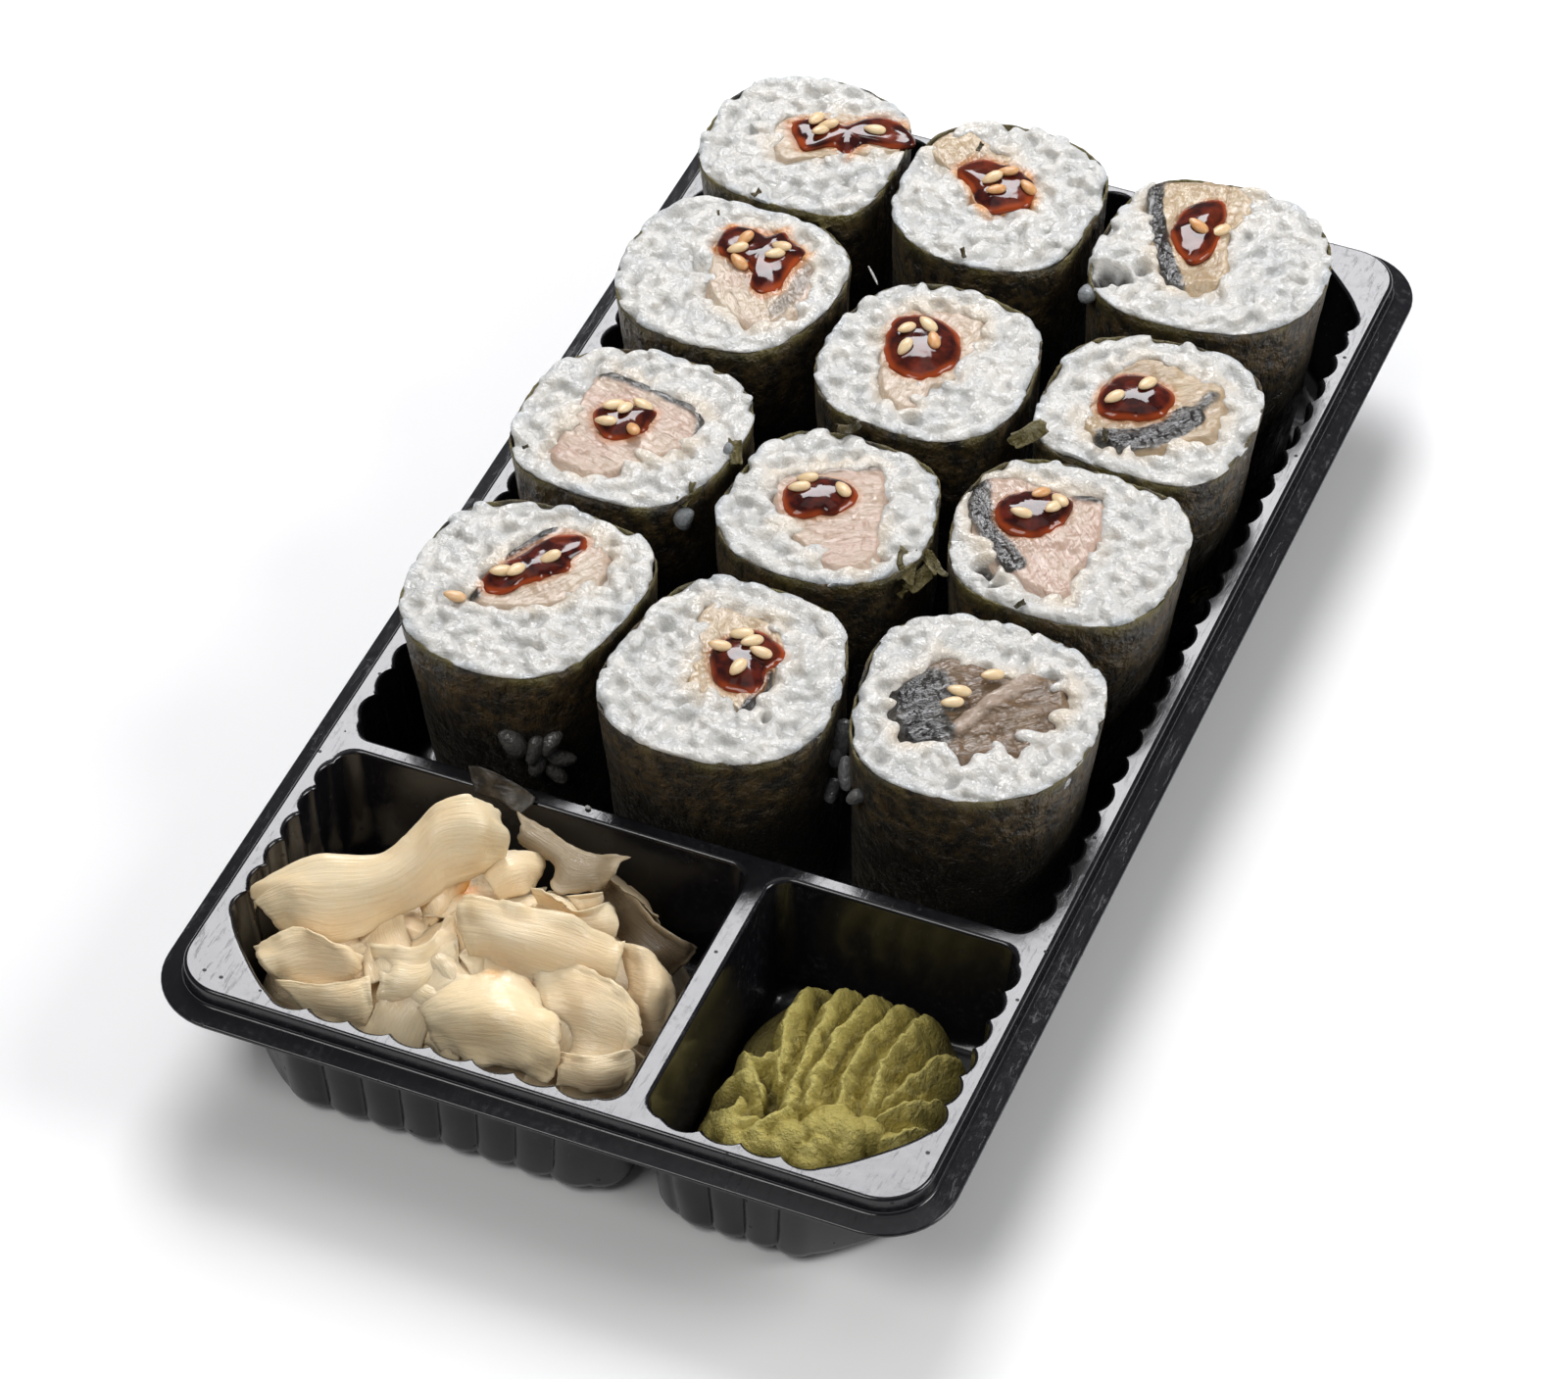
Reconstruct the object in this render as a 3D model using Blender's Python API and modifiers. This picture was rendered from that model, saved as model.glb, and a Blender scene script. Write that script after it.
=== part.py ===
"""Takeaway sushi tray: a black thermoformed tray with three wells, twelve thick rolls in the large
well, pickled ginger in one small well and green horseradish paste in the other.

Lengths below are in millimetres and become metres when a mesh is made. The origin is the centre of
the tray's underside, X runs across the tray and Y along it, away from the two small wells.
"""
import math
import random

import bmesh
import bpy
from mathutils import Matrix, Vector

MM = 0.001
GAP = 0.3

# Tray
TRAY_HEIGHT = 21.5
SHEET = 0.5
FLANGE_HALF_X = 54.0
FLANGE_HALF_Y = 102.0
FLANGE_CORNER = 7.2
CORNER_STEPS = 4
STEP_DROP = 2.7
STEP_SLOPE = 0.15
LEDGE_WIDTH = 3.1
LIP_DROP = 0.9
WELL_HALF_X = 50.5
WELL_HALF_Y = 99.2
MAIN_FRONT_Y = -50.7
SMALL_BACK_Y = -53.4
GINGER_RIGHT_X = 10.9
WASABI_LEFT_X = 14.4
WALL_DRAFT = 1.0
FLOOR_FILLET = 2.4
CORNER_GROWTH = (0, 0.5, 1.2)
FLUTE_PITCH = 5.6
FLUTE_DEPTH = 1.1
FLUTE_SHOULDERS = (0.26, 0.74)
FLUTE_LEFT_AT_FLOOR = 0.25
OUTER_CHAMFER = 11.0
CHAMFER_SHARES = (0, 0.14, 0.86, 1)
CHAMFER_BULGE = (0, 0.036, 0.036, 0)
INNER_CORNER = 3.2

# Rolls
FLOOR_Z = SHEET + GAP
ROLL_TOP = TRAY_HEIGHT + 14.4
SIDES = 16
NORI = 0.5
FOOT_SIZE = 0.87
FOOT_PULL_X = 0.955
FOOT_PULL_Y = 0.98
ROLLS_MID_Y = 24.0
PRESS = 9
UNEVEN_TWO = 0.018
UNEVEN_THREE = 0.014
NEIGHBOUR_REACH = 60
LEAST_FACING = 0.15
HALF_GAP = 0.2
WALL_X = (46.4, 51.5)
WALL_FRONT_Y = (-46.9, -52.4)
WALL_BACK_Y = (95.8, 95.8)
RICE_RINGS = 3
RICE_ZIGZAG = 0.08
RICE_EDGE_DROP = 1.1
RICE_TOP_DROP = 0.35
RICE_BUMP = 0.9
NORI_DROP = 0.7
FILLING_SINK = 0.5
FILLING_RIDGE = 0.5
FILLING_UNEVEN = 0.05
FILLING_SQUARENESS = 3

# Sauce and sesame
SAUCE_SIDES = 10
SAUCE_DEPTH = 1.1
SAUCE_LIFT = 0.15
SAUCE_SHOULDER = (0.9, 0.7)
SAUCE_UNEVEN = 0.09
SEED_LENGTH = 3.5
SEED_WIDTH = 2.3
SEED_DEPTH = 1.3
SEED_TAPER = 0.35


class Roll:
    """One roll: its place on the top plane, its free radius, and what shows at its cut."""

    def __init__(self, name, x, y, radius, lift, filling, sauce, seeds):
        self.name = name
        self.x, self.y = x, y
        self.radius = radius
        self.top = ROLL_TOP + lift
        self.filling = filling
        self.sauce = sauce
        self.seeds = seeds

    def centre(self, level):
        """The middle of the roll at a level from 0, its foot, to 1, its cut top."""
        foot_x = self.x * FOOT_PULL_X
        foot_y = ROLLS_MID_Y + (self.y - ROLLS_MID_Y) * FOOT_PULL_Y
        return foot_x + (self.x - foot_x) * level, foot_y + (self.y - foot_y) * level

    def size(self, level):
        return FOOT_SIZE + (1 - FOOT_SIZE) * level


# Fillings and sauces: offset x, y from the roll's middle, half length, half width, angle in degrees.
# Seeds: offset x, y from the sauce's middle, angle in degrees.
ROLLS = (
    Roll("roll_1_left", -33.9, 76.8, 17.7, 0.0, (4.5, 4.5, 9, 4, 5), (5.5, 5, 8.5, 3, 4),
         ((-6.3, 0.5, 80), (-4, -0.5, 30), (-4.6, -2, 60), (3, 1.2, 10))),
    Roll("roll_1_mid", -2.9, 76.8, 18.2, 0.3, (-3.5, 5, 9, 4.5, -42), (0.5, 1.5, 6.5, 4, -25),
         ((-0.7, 2.7, 20), (-2.3, 0.3, 50), (-0.8, -2, 40), (3.3, 0.8, -30))),
    Roll("roll_1_right", 30.5, 75.7, 19.2, 0.0, (-2.5, 4.5, 9.5, 6, -82), (-2, 4.8, 7, 3.4, -84),
         ((-0.9, -0.4, -20), (2.2, 0.8, 60))),
    Roll("roll_2_left", -33.3, 45.4, 18.7, 0.2, (4.5, 2, 8.5, 5.5, -50), (2.8, 4.6, 7.5, 4.4, -45),
         ((-2.3, -2.7, -30), (-3.4, -0.6, 40), (-3.2, 1.8, 70), (2.4, 2.2, -10), (2.2, 0.2, 50))),
    Roll("roll_2_mid", 1.3, 38.2, 18.4, 0.0, (-2, -1, 8, 5, 80), (-2.2, 2.8, 5.5, 5.1, 20),
         ((-3.2, 1, 60), (-0.6, 3, -30), (1.5, -0.1, -60), (-1.9, -3, 80))),
    Roll("roll_2_right", 33.5, 40.6, 18.2, -0.3, (0.5, 2.5, 9.5, 6.2, 40), (-2, 1.4, 6, 4, 35),
         ((0.9, 2.2, 70), (-2.5, -2.2, 55))),
    Roll("roll_3_left", -33.4, 8.7, 18.5, 0.3, (-1, -0.5, 10, 8.2, 52), (-0.5, 0.6, 5.2, 4.2, 56),
         ((-3, 1, 40), (-1.2, 0.8, 80), (0.5, 3.3, -10), (-2.8, -2.4, 10), (1.4, -2.3, -50))),
    Roll("roll_3_mid", -0.6, 4.1, 17.6, 0.0, (0, 1, 9.2, 6.8, 24), (-2.2, 0.9, 5.8, 4, 26),
         ((-2.6, 1.8, 20), (-2.9, -0.5, 30), (3, 1.4, -40))),
    Roll("roll_3_right", 32.6, 10.6, 19.0, 0.0, (-4.6, -1, 9.6, 7.6, -48), (-5.8, 3, 5.8, 4.4, 20),
         ((-0.4, 2.8, 60), (2.6, 2.4, -40), (-1.4, -2.3, 10), (2.3, 0.6, 70))),
    Roll("roll_4_left", -34.0, -26.8, 19.2, 0.0, (-0.5, 3.6, 10, 4.6, 60), (-0.4, 5, 8, 3, 55),
         ((-3.4, -5.2, 40), (-1.6, -4.4, 70), (1.8, -0.2, 50))),
    Roll("roll_4_mid", -1.4, -32.0, 19.4, 0.2, (0, 3.2, 8.8, 5.2, -60), (0.6, 2.2, 6, 4.6, -42),
         ((-2.9, 0.4, 10), (-1, 3.6, 20), (1, 2.6, 50), (3, 1, 0), (1.2, -2.9, 80))),
    Roll("roll_4_right", 32.2, -25.4, 19.4, 0.0, (0.5, 0, 11.6, 9.2, 15), None,
         ((-2.2, 0.5, 20), (-2.3, -2, 30), (0.9, 5.1, 40))),
)

# Ginger: a core's middle, half sizes and top, under slices given by their
# middle, length, width, bend in radians, turn and tilt in degrees
GINGER_CORE = (-20.0, -77.5, 25.5, 17.0)
GINGER_CORE_TOP = 17.5
GINGER_CORE_FOOT = 0.35
SLICE_THICKNESS = 1.4
SLICE_ACROSS = 2
SLICE_ALONG = 4
SLICE_POINTED = 1.6
SLICE_WAVE = 0.8
GINGER_SLICES = (
    ((-30, -63, 24.0), 16, 15, 2.8, -20, 0),
    ((-41, -77, 20.0), 27, 15, 1.2, 34, -14),
    ((-9, -80, 19.5), 29, 19, 1.2, -38, -6),
    ((-36, -87, 17.5), 24, 13, 1.2, -14, 12),
    ((-8, -68, 18.0), 22, 13, 1.2, -42, -10),
    ((-11, -61, 20.0), 20, 8, 0.7, -12, 34),
    ((-11, -88, 17.0), 18, 14, 1.8, -60, 0),
    ((-22, -74, 20.5), 20, 13, 1.0, 75, 10),
    ((1, -70, 16.5), 18, 12, 0.9, -70, -18),
    ((-24, -91, 16.5), 18, 10, 1.4, 5, 14),
    ((4, -86, 16.5), 18, 11, 1.3, -80, 10),
)
WALL_CLEAR = WALL_DRAFT + 2 * GAP

# Paste: a fan of ridges from one point, and lumps given by their middle and radius
PASTE_ROOT = (31.0, -92.0)
PASTE_FAN = (24.0, 126.0)
PASTE_REACH = (3.0, 36.0)
PASTE_HEIGHT = 8.5
PASTE_ROWS = 5
PASTE_RIM = 0.5
RIDGES = 8
RIDGE_STEPS = 4
RIDGE_HEIGHT = 3.4
LUMP_UNEVEN = 0.15
LUMPS = (
    (31, -91, 5.5), (37, -87, 4.6), (26, -93, 4.4), (22, -90, 3.8), (41, -90, 4.0),
    (19.5, -84, 3.4), (22, -79, 3.6), (20, -74, 3.0), (35, -94, 3.4),
)

# Shred of fish skin on the cross divider: its middle, and the way it points in degrees
SCRAP_PLACE = (-26.0, -52.0, -22.0)
SCRAP_LENGTH = 12.5
SCRAP_WIDTH = 5.0
SCRAP_TAPER = 0.45
SCRAP_WAVE = 0.35
SCRAP_THICKNESS = 0.5


def new_mesh_object(name, bm, collection):
    mesh = bpy.data.meshes.new(name)
    bmesh.ops.scale(bm, vec=(MM, MM, MM), verts=bm.verts)
    bm.to_mesh(mesh)
    bm.free()
    obj = bpy.data.objects.new(name, mesh)
    collection.objects.link(obj)
    return obj


def material(name, colour, roughness):
    mat = bpy.data.materials.new(name)
    mat.use_nodes = True
    shader = mat.node_tree.nodes["Principled BSDF"]
    shader.inputs["Base Color"].default_value = (*colour, 1)
    shader.inputs["Roughness"].default_value = roughness
    return mat


def shade(obj, mat, smooth_degrees):
    obj.data.materials.append(mat)
    obj.data.shade_smooth()
    obj.data.set_sharp_from_angle(angle=math.radians(smooth_degrees))


def turn_about_z(bm, degrees):
    bmesh.ops.rotate(bm, matrix=Matrix.Rotation(math.radians(degrees), 3, "Z"), verts=bm.verts)


def add_sheet(obj, thickness):
    """Gives an open surface its thickness, below it or inside it."""
    solid = obj.modifiers.new("sheet", "SOLIDIFY")
    solid.thickness = thickness * MM
    solid.offset = -1
    return solid


def add_ring(bm, points):
    return [bm.verts.new(point) for point in points]


def loft(bm, lower, upper):
    """Faces between two rings of as many points, facing out when the rings run anticlockwise."""
    for i in range(len(lower)):
        j = (i + 1) % len(lower)
        bm.faces.new((lower[i], lower[j], upper[j], upper[i]))


def cap(bm, ring, centre):
    """A fan from a middle point to a ring, facing up when the ring runs anticlockwise."""
    middle = bm.verts.new(centre)
    for i in range(len(ring)):
        bm.faces.new((ring[i], ring[(i + 1) % len(ring)], middle))


def union(obj, extras):
    """Joins every object of a collection into one, then removes them."""
    join = obj.modifiers.new("join", "BOOLEAN")
    join.operation = "UNION"
    join.operand_type = "COLLECTION"
    join.collection = extras
    join.solver = "MANIFOLD"
    graph = bpy.context.evaluated_depsgraph_get()
    joined = bpy.data.meshes.new_from_object(obj.evaluated_get(graph))
    obj.modifiers.remove(join)
    obj.data = joined
    for extra in list(extras.objects):
        bpy.data.objects.remove(extra)
    bpy.data.collections.remove(extras)


def rounded_rectangle(half_x, half_y, radius, z):
    points = []
    for corner in range(4):
        sign_x = (1, -1, -1, 1)[corner]
        sign_y = (1, 1, -1, -1)[corner]
        for step in range(CORNER_STEPS + 1):
            angle = math.radians(90 * corner + 90 * step / CORNER_STEPS)
            x = sign_x * (half_x - radius) + radius * math.cos(angle)
            y = sign_y * (half_y - radius) + radius * math.sin(angle)
            points.append((x, y, z))
    return points


class Well:
    """A well of the tray: its box, which corners are cut off, and which sides are fluted."""

    def __init__(self, x0, x1, y0, y1, chamfered, fluted):
        self.x0, self.x1, self.y0, self.y1 = x0, x1, y0, y1
        self.chamfered = chamfered
        self.fluted = fluted

    def corner(self, number, inset, grow):
        """Points round one corner, numbered anticlockwise from the front left."""
        x = (self.x0 + inset, self.x1 - inset, self.x1 - inset, self.x0 + inset)[number]
        y = (self.y0 + inset, self.y0 + inset, self.y1 - inset, self.y1 - inset)[number]
        cut = number in self.chamfered
        size = (OUTER_CHAMFER if cut else INNER_CORNER) + grow
        start = math.radians(180 + 90 * number)
        first = Vector((math.cos(start), math.sin(start)))
        last = Vector((-first.y, first.x))
        middle = Vector((x, y)) - (first + last) * size
        points = []
        for share, bulge in zip(CHAMFER_SHARES, CHAMFER_BULGE):
            flat = first * (1 - share) + last * share + (first + last) * bulge
            points.append(middle + flat * size)
        if cut:
            return points
        points = []
        for step in range(4):
            angle = start + math.radians(30 * step)
            points.append(middle + Vector((math.cos(angle), math.sin(angle))) * size)
        return points

    def outline(self, inset, grow, flute):
        """One level of the walls, anticlockwise, with pointed cusps between round flutes."""
        points = []
        for side in range(4):
            points += self.corner(side, inset, grow)
            if side not in self.fluted:
                continue
            start = self.corner(side, inset, grow)[-1]
            end = self.corner((side + 1) % 4, inset, grow)[0]
            along = end - start
            out = Vector((along.y, -along.x)).normalized()
            flutes = self.flute_count(side)
            for i in range(flutes):
                for share in FLUTE_SHOULDERS:
                    points.append(start + along * (i + share) / flutes + out * flute)
                if i < flutes - 1:
                    points.append(start + along * (i + 1) / flutes)
        return points

    def flute_count(self, side):
        start = self.corner(side, 0, 0)[-1]
        end = self.corner((side + 1) % 4, 0, 0)[0]
        return round((end - start).length / FLUTE_PITCH)


def loop_edges(bm, ring):
    found = []
    for i, vert in enumerate(ring):
        pair = (vert, ring[(i + 1) % len(ring)])
        found.append(bm.edges.get(pair) or bm.edges.new(pair))
    return found


def make_tray(collection, mat):
    """The whole tray as one open surface, its upper side, thickened downwards to the sheet."""
    wells = (
        Well(-WELL_HALF_X, WELL_HALF_X, MAIN_FRONT_Y, WELL_HALF_Y, (2, 3), (1, 2, 3)),
        Well(-WELL_HALF_X, GINGER_RIGHT_X, -WELL_HALF_Y, SMALL_BACK_Y, (0,), (0, 3)),
        Well(WASABI_LEFT_X, WELL_HALF_X, -WELL_HALF_Y, SMALL_BACK_Y, (1,), (0, 1)),
    )
    bm = bmesh.new()
    top = TRAY_HEIGHT
    flat = add_ring(bm, rounded_rectangle(FLANGE_HALF_X, FLANGE_HALF_Y, FLANGE_CORNER, top))
    rings = [flat]
    for grow, drop in ((STEP_SLOPE, STEP_DROP), (LEDGE_WIDTH, STEP_DROP),
                       (LEDGE_WIDTH + STEP_SLOPE, STEP_DROP + LIP_DROP)):
        rings.append(add_ring(bm, rounded_rectangle(
            FLANGE_HALF_X + grow, FLANGE_HALF_Y + grow, FLANGE_CORNER + grow, top - drop)))
    for upper, lower in zip(rings, rings[1:]):
        loft(bm, lower, upper)
    edges = loop_edges(bm, flat)
    insets = (0, WALL_DRAFT, WALL_DRAFT + FLOOR_FILLET)
    flutes = (FLUTE_DEPTH, FLUTE_DEPTH, FLUTE_DEPTH * FLUTE_LEFT_AT_FLOOR)
    heights = (top, SHEET + FLOOR_FILLET, SHEET)
    for well in wells:
        loops = []
        for inset, grow, flute, z in zip(insets, CORNER_GROWTH, flutes, heights):
            outline = well.outline(inset, grow, flute)
            loops.append(add_ring(bm, [(point.x, point.y, z) for point in outline]))
        for upper, lower in zip(loops, loops[1:]):
            loft(bm, upper, lower)
        bm.faces.new(loops[-1])
        edges += loop_edges(bm, loops[0])
    bmesh.ops.triangle_fill(bm, edges=edges, use_beauty=True)
    for face in bm.faces:
        if face.normal.z < -0.9:
            face.normal_flip()
    tray = new_mesh_object("tray", bm, collection)
    add_sheet(tray, SHEET).use_even_offset = True
    shade(tray, mat, 35)


def soft_min(values):
    """The least of some lengths, with the change from one to the next rounded off."""
    return sum(value ** -PRESS for value in values) ** (-1 / PRESS)


def at_level(foot_and_top, level):
    foot, top = foot_and_top
    return foot + (top - foot) * level


def roll_radius(roll, angle, level):
    """The roll's outside at an angle: round where free, flat where a neighbour or the tray presses."""
    x, y = roll.centre(level)
    phase = roll.x + 3 * roll.y
    uneven = 1 + UNEVEN_TWO * math.cos(2 * angle + phase)
    uneven += UNEVEN_THREE * math.cos(3 * angle + 2 * phase)
    limits = [roll.radius * uneven * roll.size(level)]
    ray = Vector((math.cos(angle), math.sin(angle)))
    for other in ROLLS:
        if other is roll:
            continue
        away = Vector(other.centre(level)) - Vector((x, y))
        facing = ray.dot(away.normalized())
        if away.length < NEIGHBOUR_REACH and facing > LEAST_FACING:
            wider = (roll.radius ** 2 - other.radius ** 2) * roll.size(level) ** 2
            reach = (away.length_squared + wider) / (2 * away.length)
            limits.append((reach - HALF_GAP) / facing)
    if abs(ray.x) > LEAST_FACING:
        wall_x = at_level(WALL_X, level)
        limits.append((wall_x - x * math.copysign(1, ray.x)) / abs(ray.x))
    if abs(ray.y) > LEAST_FACING:
        wall_y = at_level(WALL_BACK_Y if ray.y > 0 else WALL_FRONT_Y, level)
        limits.append((wall_y - y) / ray.y)
    return soft_min(limits)


def roll_ring(roll, level, z, inset):
    x, y = roll.centre(level)
    points = []
    for i in range(SIDES):
        angle = 2 * math.pi * i / SIDES
        radius = roll_radius(roll, angle, level) - inset
        points.append((x + radius * math.cos(angle), y + radius * math.sin(angle), z))
    return points


def filling_ring(roll, level, z, grow):
    """The filling's outline: a rounded block, as uneven as cut fish."""
    off_x, off_y, half_length, half_width, turn = roll.filling
    size = roll.size(level)
    x, y = roll.centre(level)
    turn = math.radians(turn)
    power = FILLING_SQUARENESS
    points = []
    for i in range(SIDES):
        angle = 2 * math.pi * i / SIDES
        along, across = math.cos(angle - turn), math.sin(angle - turn)
        uneven = 1 + FILLING_UNEVEN * math.cos(3 * angle + roll.y)
        long_side = half_length * size * uneven + grow
        short_side = half_width * size * uneven + grow
        radius = (abs(along / long_side) ** power + abs(across / short_side) ** power) ** (-1 / power)
        points.append((x + off_x * size + radius * math.cos(angle),
                       y + off_y * size + radius * math.sin(angle), z))
    return points


def make_nori(roll, collection, mat):
    """The sheet round the roll: an open tube, thickened inwards."""
    bm = bmesh.new()
    foot = add_ring(bm, roll_ring(roll, 0, FLOOR_Z, 0))
    head = add_ring(bm, roll_ring(roll, 1, roll.top - NORI_DROP, 0))
    loft(bm, foot, head)
    obj = new_mesh_object(roll.name + "_nori", bm, collection)
    add_sheet(obj, NORI)
    shade(obj, mat, 50)


def make_rice(roll, collection, mat):
    """Rice between the sheet and the filling, its cut face in bumps the size of a grain."""
    rng = random.Random(roll.name)
    inset = NORI + GAP + 0.1
    bm = bmesh.new()
    foot = add_ring(bm, roll_ring(roll, 0, FLOOR_Z, inset))
    outer = roll_ring(roll, 1, roll.top - RICE_EDGE_DROP, inset)
    hole = filling_ring(roll, 1, roll.top - FILLING_SINK, GAP)
    rings = [add_ring(bm, outer)]
    for ring in range(1, RICE_RINGS):
        points = []
        for i, (a, b) in enumerate(zip(outer, hole)):
            share = ring / RICE_RINGS + (RICE_ZIGZAG if i % 2 else -RICE_ZIGZAG)
            bump = RICE_BUMP * rng.random() if ring == 1 else 0
            points.append((a[0] + (b[0] - a[0]) * share, a[1] + (b[1] - a[1]) * share,
                           roll.top - RICE_TOP_DROP + bump))
        rings.append(add_ring(bm, points))
    rings.append(add_ring(bm, hole))
    inner_foot = add_ring(bm, filling_ring(roll, 0, FLOOR_Z, GAP))
    loft(bm, foot, rings[0])
    for a, b in zip(rings, rings[1:]):
        loft(bm, a, b)
    loft(bm, rings[-1], inner_foot)
    loft(bm, inner_foot, foot)
    obj = new_mesh_object(roll.name + "_rice", bm, collection)
    shade(obj, mat, 60)


def add_seeds(roll, obj, x, y, z):
    """Fuses the roll's sesame seeds, flattened eggs, to what they lie on."""
    extras = bpy.data.collections.new(roll.name + "_sesame")
    for i, (seed_x, seed_y, seed_turn) in enumerate(roll.seeds):
        bm = bmesh.new()
        bmesh.ops.create_uvsphere(bm, u_segments=5, v_segments=4, radius=0.5)
        bmesh.ops.rotate(bm, matrix=Matrix.Rotation(math.pi / 2, 3, "Y"), verts=bm.verts)
        for vert in bm.verts:
            slim = 1 - SEED_TAPER * (vert.co.x + 0.5)
            vert.co = (vert.co.x * SEED_LENGTH, vert.co.y * SEED_WIDTH * slim,
                       vert.co.z * SEED_DEPTH * slim)
        turn_about_z(bm, seed_turn)
        bmesh.ops.translate(bm, vec=(x + seed_x, y + seed_y, z), verts=bm.verts)
        new_mesh_object(f"{roll.name}_seed_{i}", bm, extras)
    union(obj, extras)


def make_filling(roll, collection, mat):
    """Fish right through the roll. On the roll without sauce the sesame lies on the fish."""
    bm = bmesh.new()
    x, y = roll.centre(1)
    foot_x, foot_y = roll.centre(0)
    off_x, off_y = roll.filling[:2]
    foot = add_ring(bm, filling_ring(roll, 0, FLOOR_Z, 0))
    head = add_ring(bm, filling_ring(roll, 1, roll.top - FILLING_SINK, 0))
    loft(bm, foot, head)
    top = roll.top - FILLING_SINK + (0 if roll.sauce else FILLING_RIDGE)
    cap(bm, head, (x + off_x, y + off_y, top))
    foot.reverse()
    cap(bm, foot, (foot_x + off_x * FOOT_SIZE, foot_y + off_y * FOOT_SIZE, FLOOR_Z))
    obj = new_mesh_object(roll.name + "_filling", bm, collection)
    if not roll.sauce:
        add_seeds(roll, obj, x, y, roll.top + SAUCE_LIFT)
    shade(obj, mat, 40)


def make_sauce(roll, collection, mat):
    """A pool of thick sauce on the cut face, with the sesame on it."""
    off_x, off_y, half_length, half_width, turn = roll.sauce
    x = roll.x + off_x
    y = roll.y + off_y
    base = roll.top + SAUCE_LIFT
    bm = bmesh.new()
    rings = []
    for share, lift in ((1, 0), SAUCE_SHOULDER):
        points = []
        for i in range(SAUCE_SIDES):
            angle = 2 * math.pi * i / SAUCE_SIDES
            uneven = share * (1 + SAUCE_UNEVEN * math.cos(3 * angle + roll.x))
            point = Vector((half_length * math.cos(angle), half_width * math.sin(angle))) * uneven
            point.rotate(Matrix.Rotation(math.radians(turn), 2))
            points.append((x + point.x, y + point.y, base + SAUCE_DEPTH * lift))
        rings.append(add_ring(bm, points))
    loft(bm, *rings)
    cap(bm, rings[-1], (x, y, base + SAUCE_DEPTH))
    rings[0].reverse()
    cap(bm, rings[0], (x, y, base))
    obj = new_mesh_object(roll.name + "_sauce", bm, collection)
    add_seeds(roll, obj, x, y, base + SAUCE_DEPTH)
    shade(obj, mat, 40)


def keep_in_well(bm, x0, x1, side):
    """Holds the points of a piece inside a small well, and off its cut corner, up to the flange."""
    corner_x = x1 if side > 0 else x0
    for vert in bm.verts:
        margin = WALL_CLEAR if vert.co.z > SHEET + FLOOR_FILLET else WALL_CLEAR + FLOOR_FILLET
        if vert.co.z > TRAY_HEIGHT + 2 * GAP:
            margin = 0
        vert.co.x = min(max(vert.co.x, x0 + margin), x1 - margin)
        vert.co.y = min(max(vert.co.y, margin - WELL_HALF_Y), SMALL_BACK_Y - margin)
        inward = (corner_x - vert.co.x) * side + vert.co.y + WELL_HALF_Y
        short = OUTER_CHAMFER + 1.5 * margin - inward
        if short > 0:
            vert.co.x -= side * short / 2
            vert.co.y += short / 2


def add_slice(extras, name, place, length, width, curl, turn, tilt):
    """One slice of ginger: a thin sheet bent along its length, wavy at its edges."""
    bm = bmesh.new()
    grid = []
    for i in range(SLICE_ALONG + 1):
        row = []
        for j in range(SLICE_ACROSS + 1):
            u = i / SLICE_ALONG - 0.5
            v = j / SLICE_ACROSS - 0.5
            x = length * math.sin(curl * u) / curl
            y = width * (1 - SLICE_POINTED * u * u) * v
            z = length * (math.cos(curl * u) - 1) / curl + SLICE_WAVE * math.sin(9 * u + 5 * v)
            row.append(bm.verts.new((x, y, z)))
        grid.append(row)
    for i in range(SLICE_ALONG):
        for j in range(SLICE_ACROSS):
            bm.faces.new((grid[i][j], grid[i + 1][j], grid[i + 1][j + 1], grid[i][j + 1]))
    bmesh.ops.rotate(bm, matrix=Matrix.Rotation(math.radians(tilt), 3, "X"), verts=bm.verts)
    turn_about_z(bm, turn)
    bmesh.ops.translate(bm, vec=place, verts=bm.verts)
    bmesh.ops.triangulate(bm, faces=bm.faces)
    bmesh.ops.recalc_face_normals(bm, faces=bm.faces)
    bmesh.ops.solidify(bm, geom=bm.faces[:], thickness=SLICE_THICKNESS)
    bmesh.ops.recalc_face_normals(bm, faces=bm.faces)
    keep_in_well(bm, -WELL_HALF_X, GINGER_RIGHT_X, -1)
    return new_mesh_object(name, bm, extras)


def make_ginger(collection, mat):
    """Slices of pickled ginger, folded over each other on a heap of the same."""
    x, y, half_x, half_y = GINGER_CORE
    foot = GINGER_CORE_FOOT
    bm = bmesh.new()
    bmesh.ops.create_uvsphere(bm, u_segments=16, v_segments=8, radius=1)
    for vert in bm.verts:
        rise = (max(vert.co.z, -foot) + foot) / (1 + foot)
        vert.co = (x + vert.co.x * half_x, y + vert.co.y * half_y,
                   FLOOR_Z + rise * (GINGER_CORE_TOP - FLOOR_Z))
    flatten_below(bm, FLOOR_Z)
    ginger = new_mesh_object("ginger", bm, collection)
    extras = bpy.data.collections.new("ginger_slices")
    for i, (place, length, width, curl, turn, tilt) in enumerate(GINGER_SLICES):
        add_slice(extras, f"slice_{i}", place, length, width, curl, turn, tilt)
    union(ginger, extras)
    shade(ginger, mat, 50)


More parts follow.
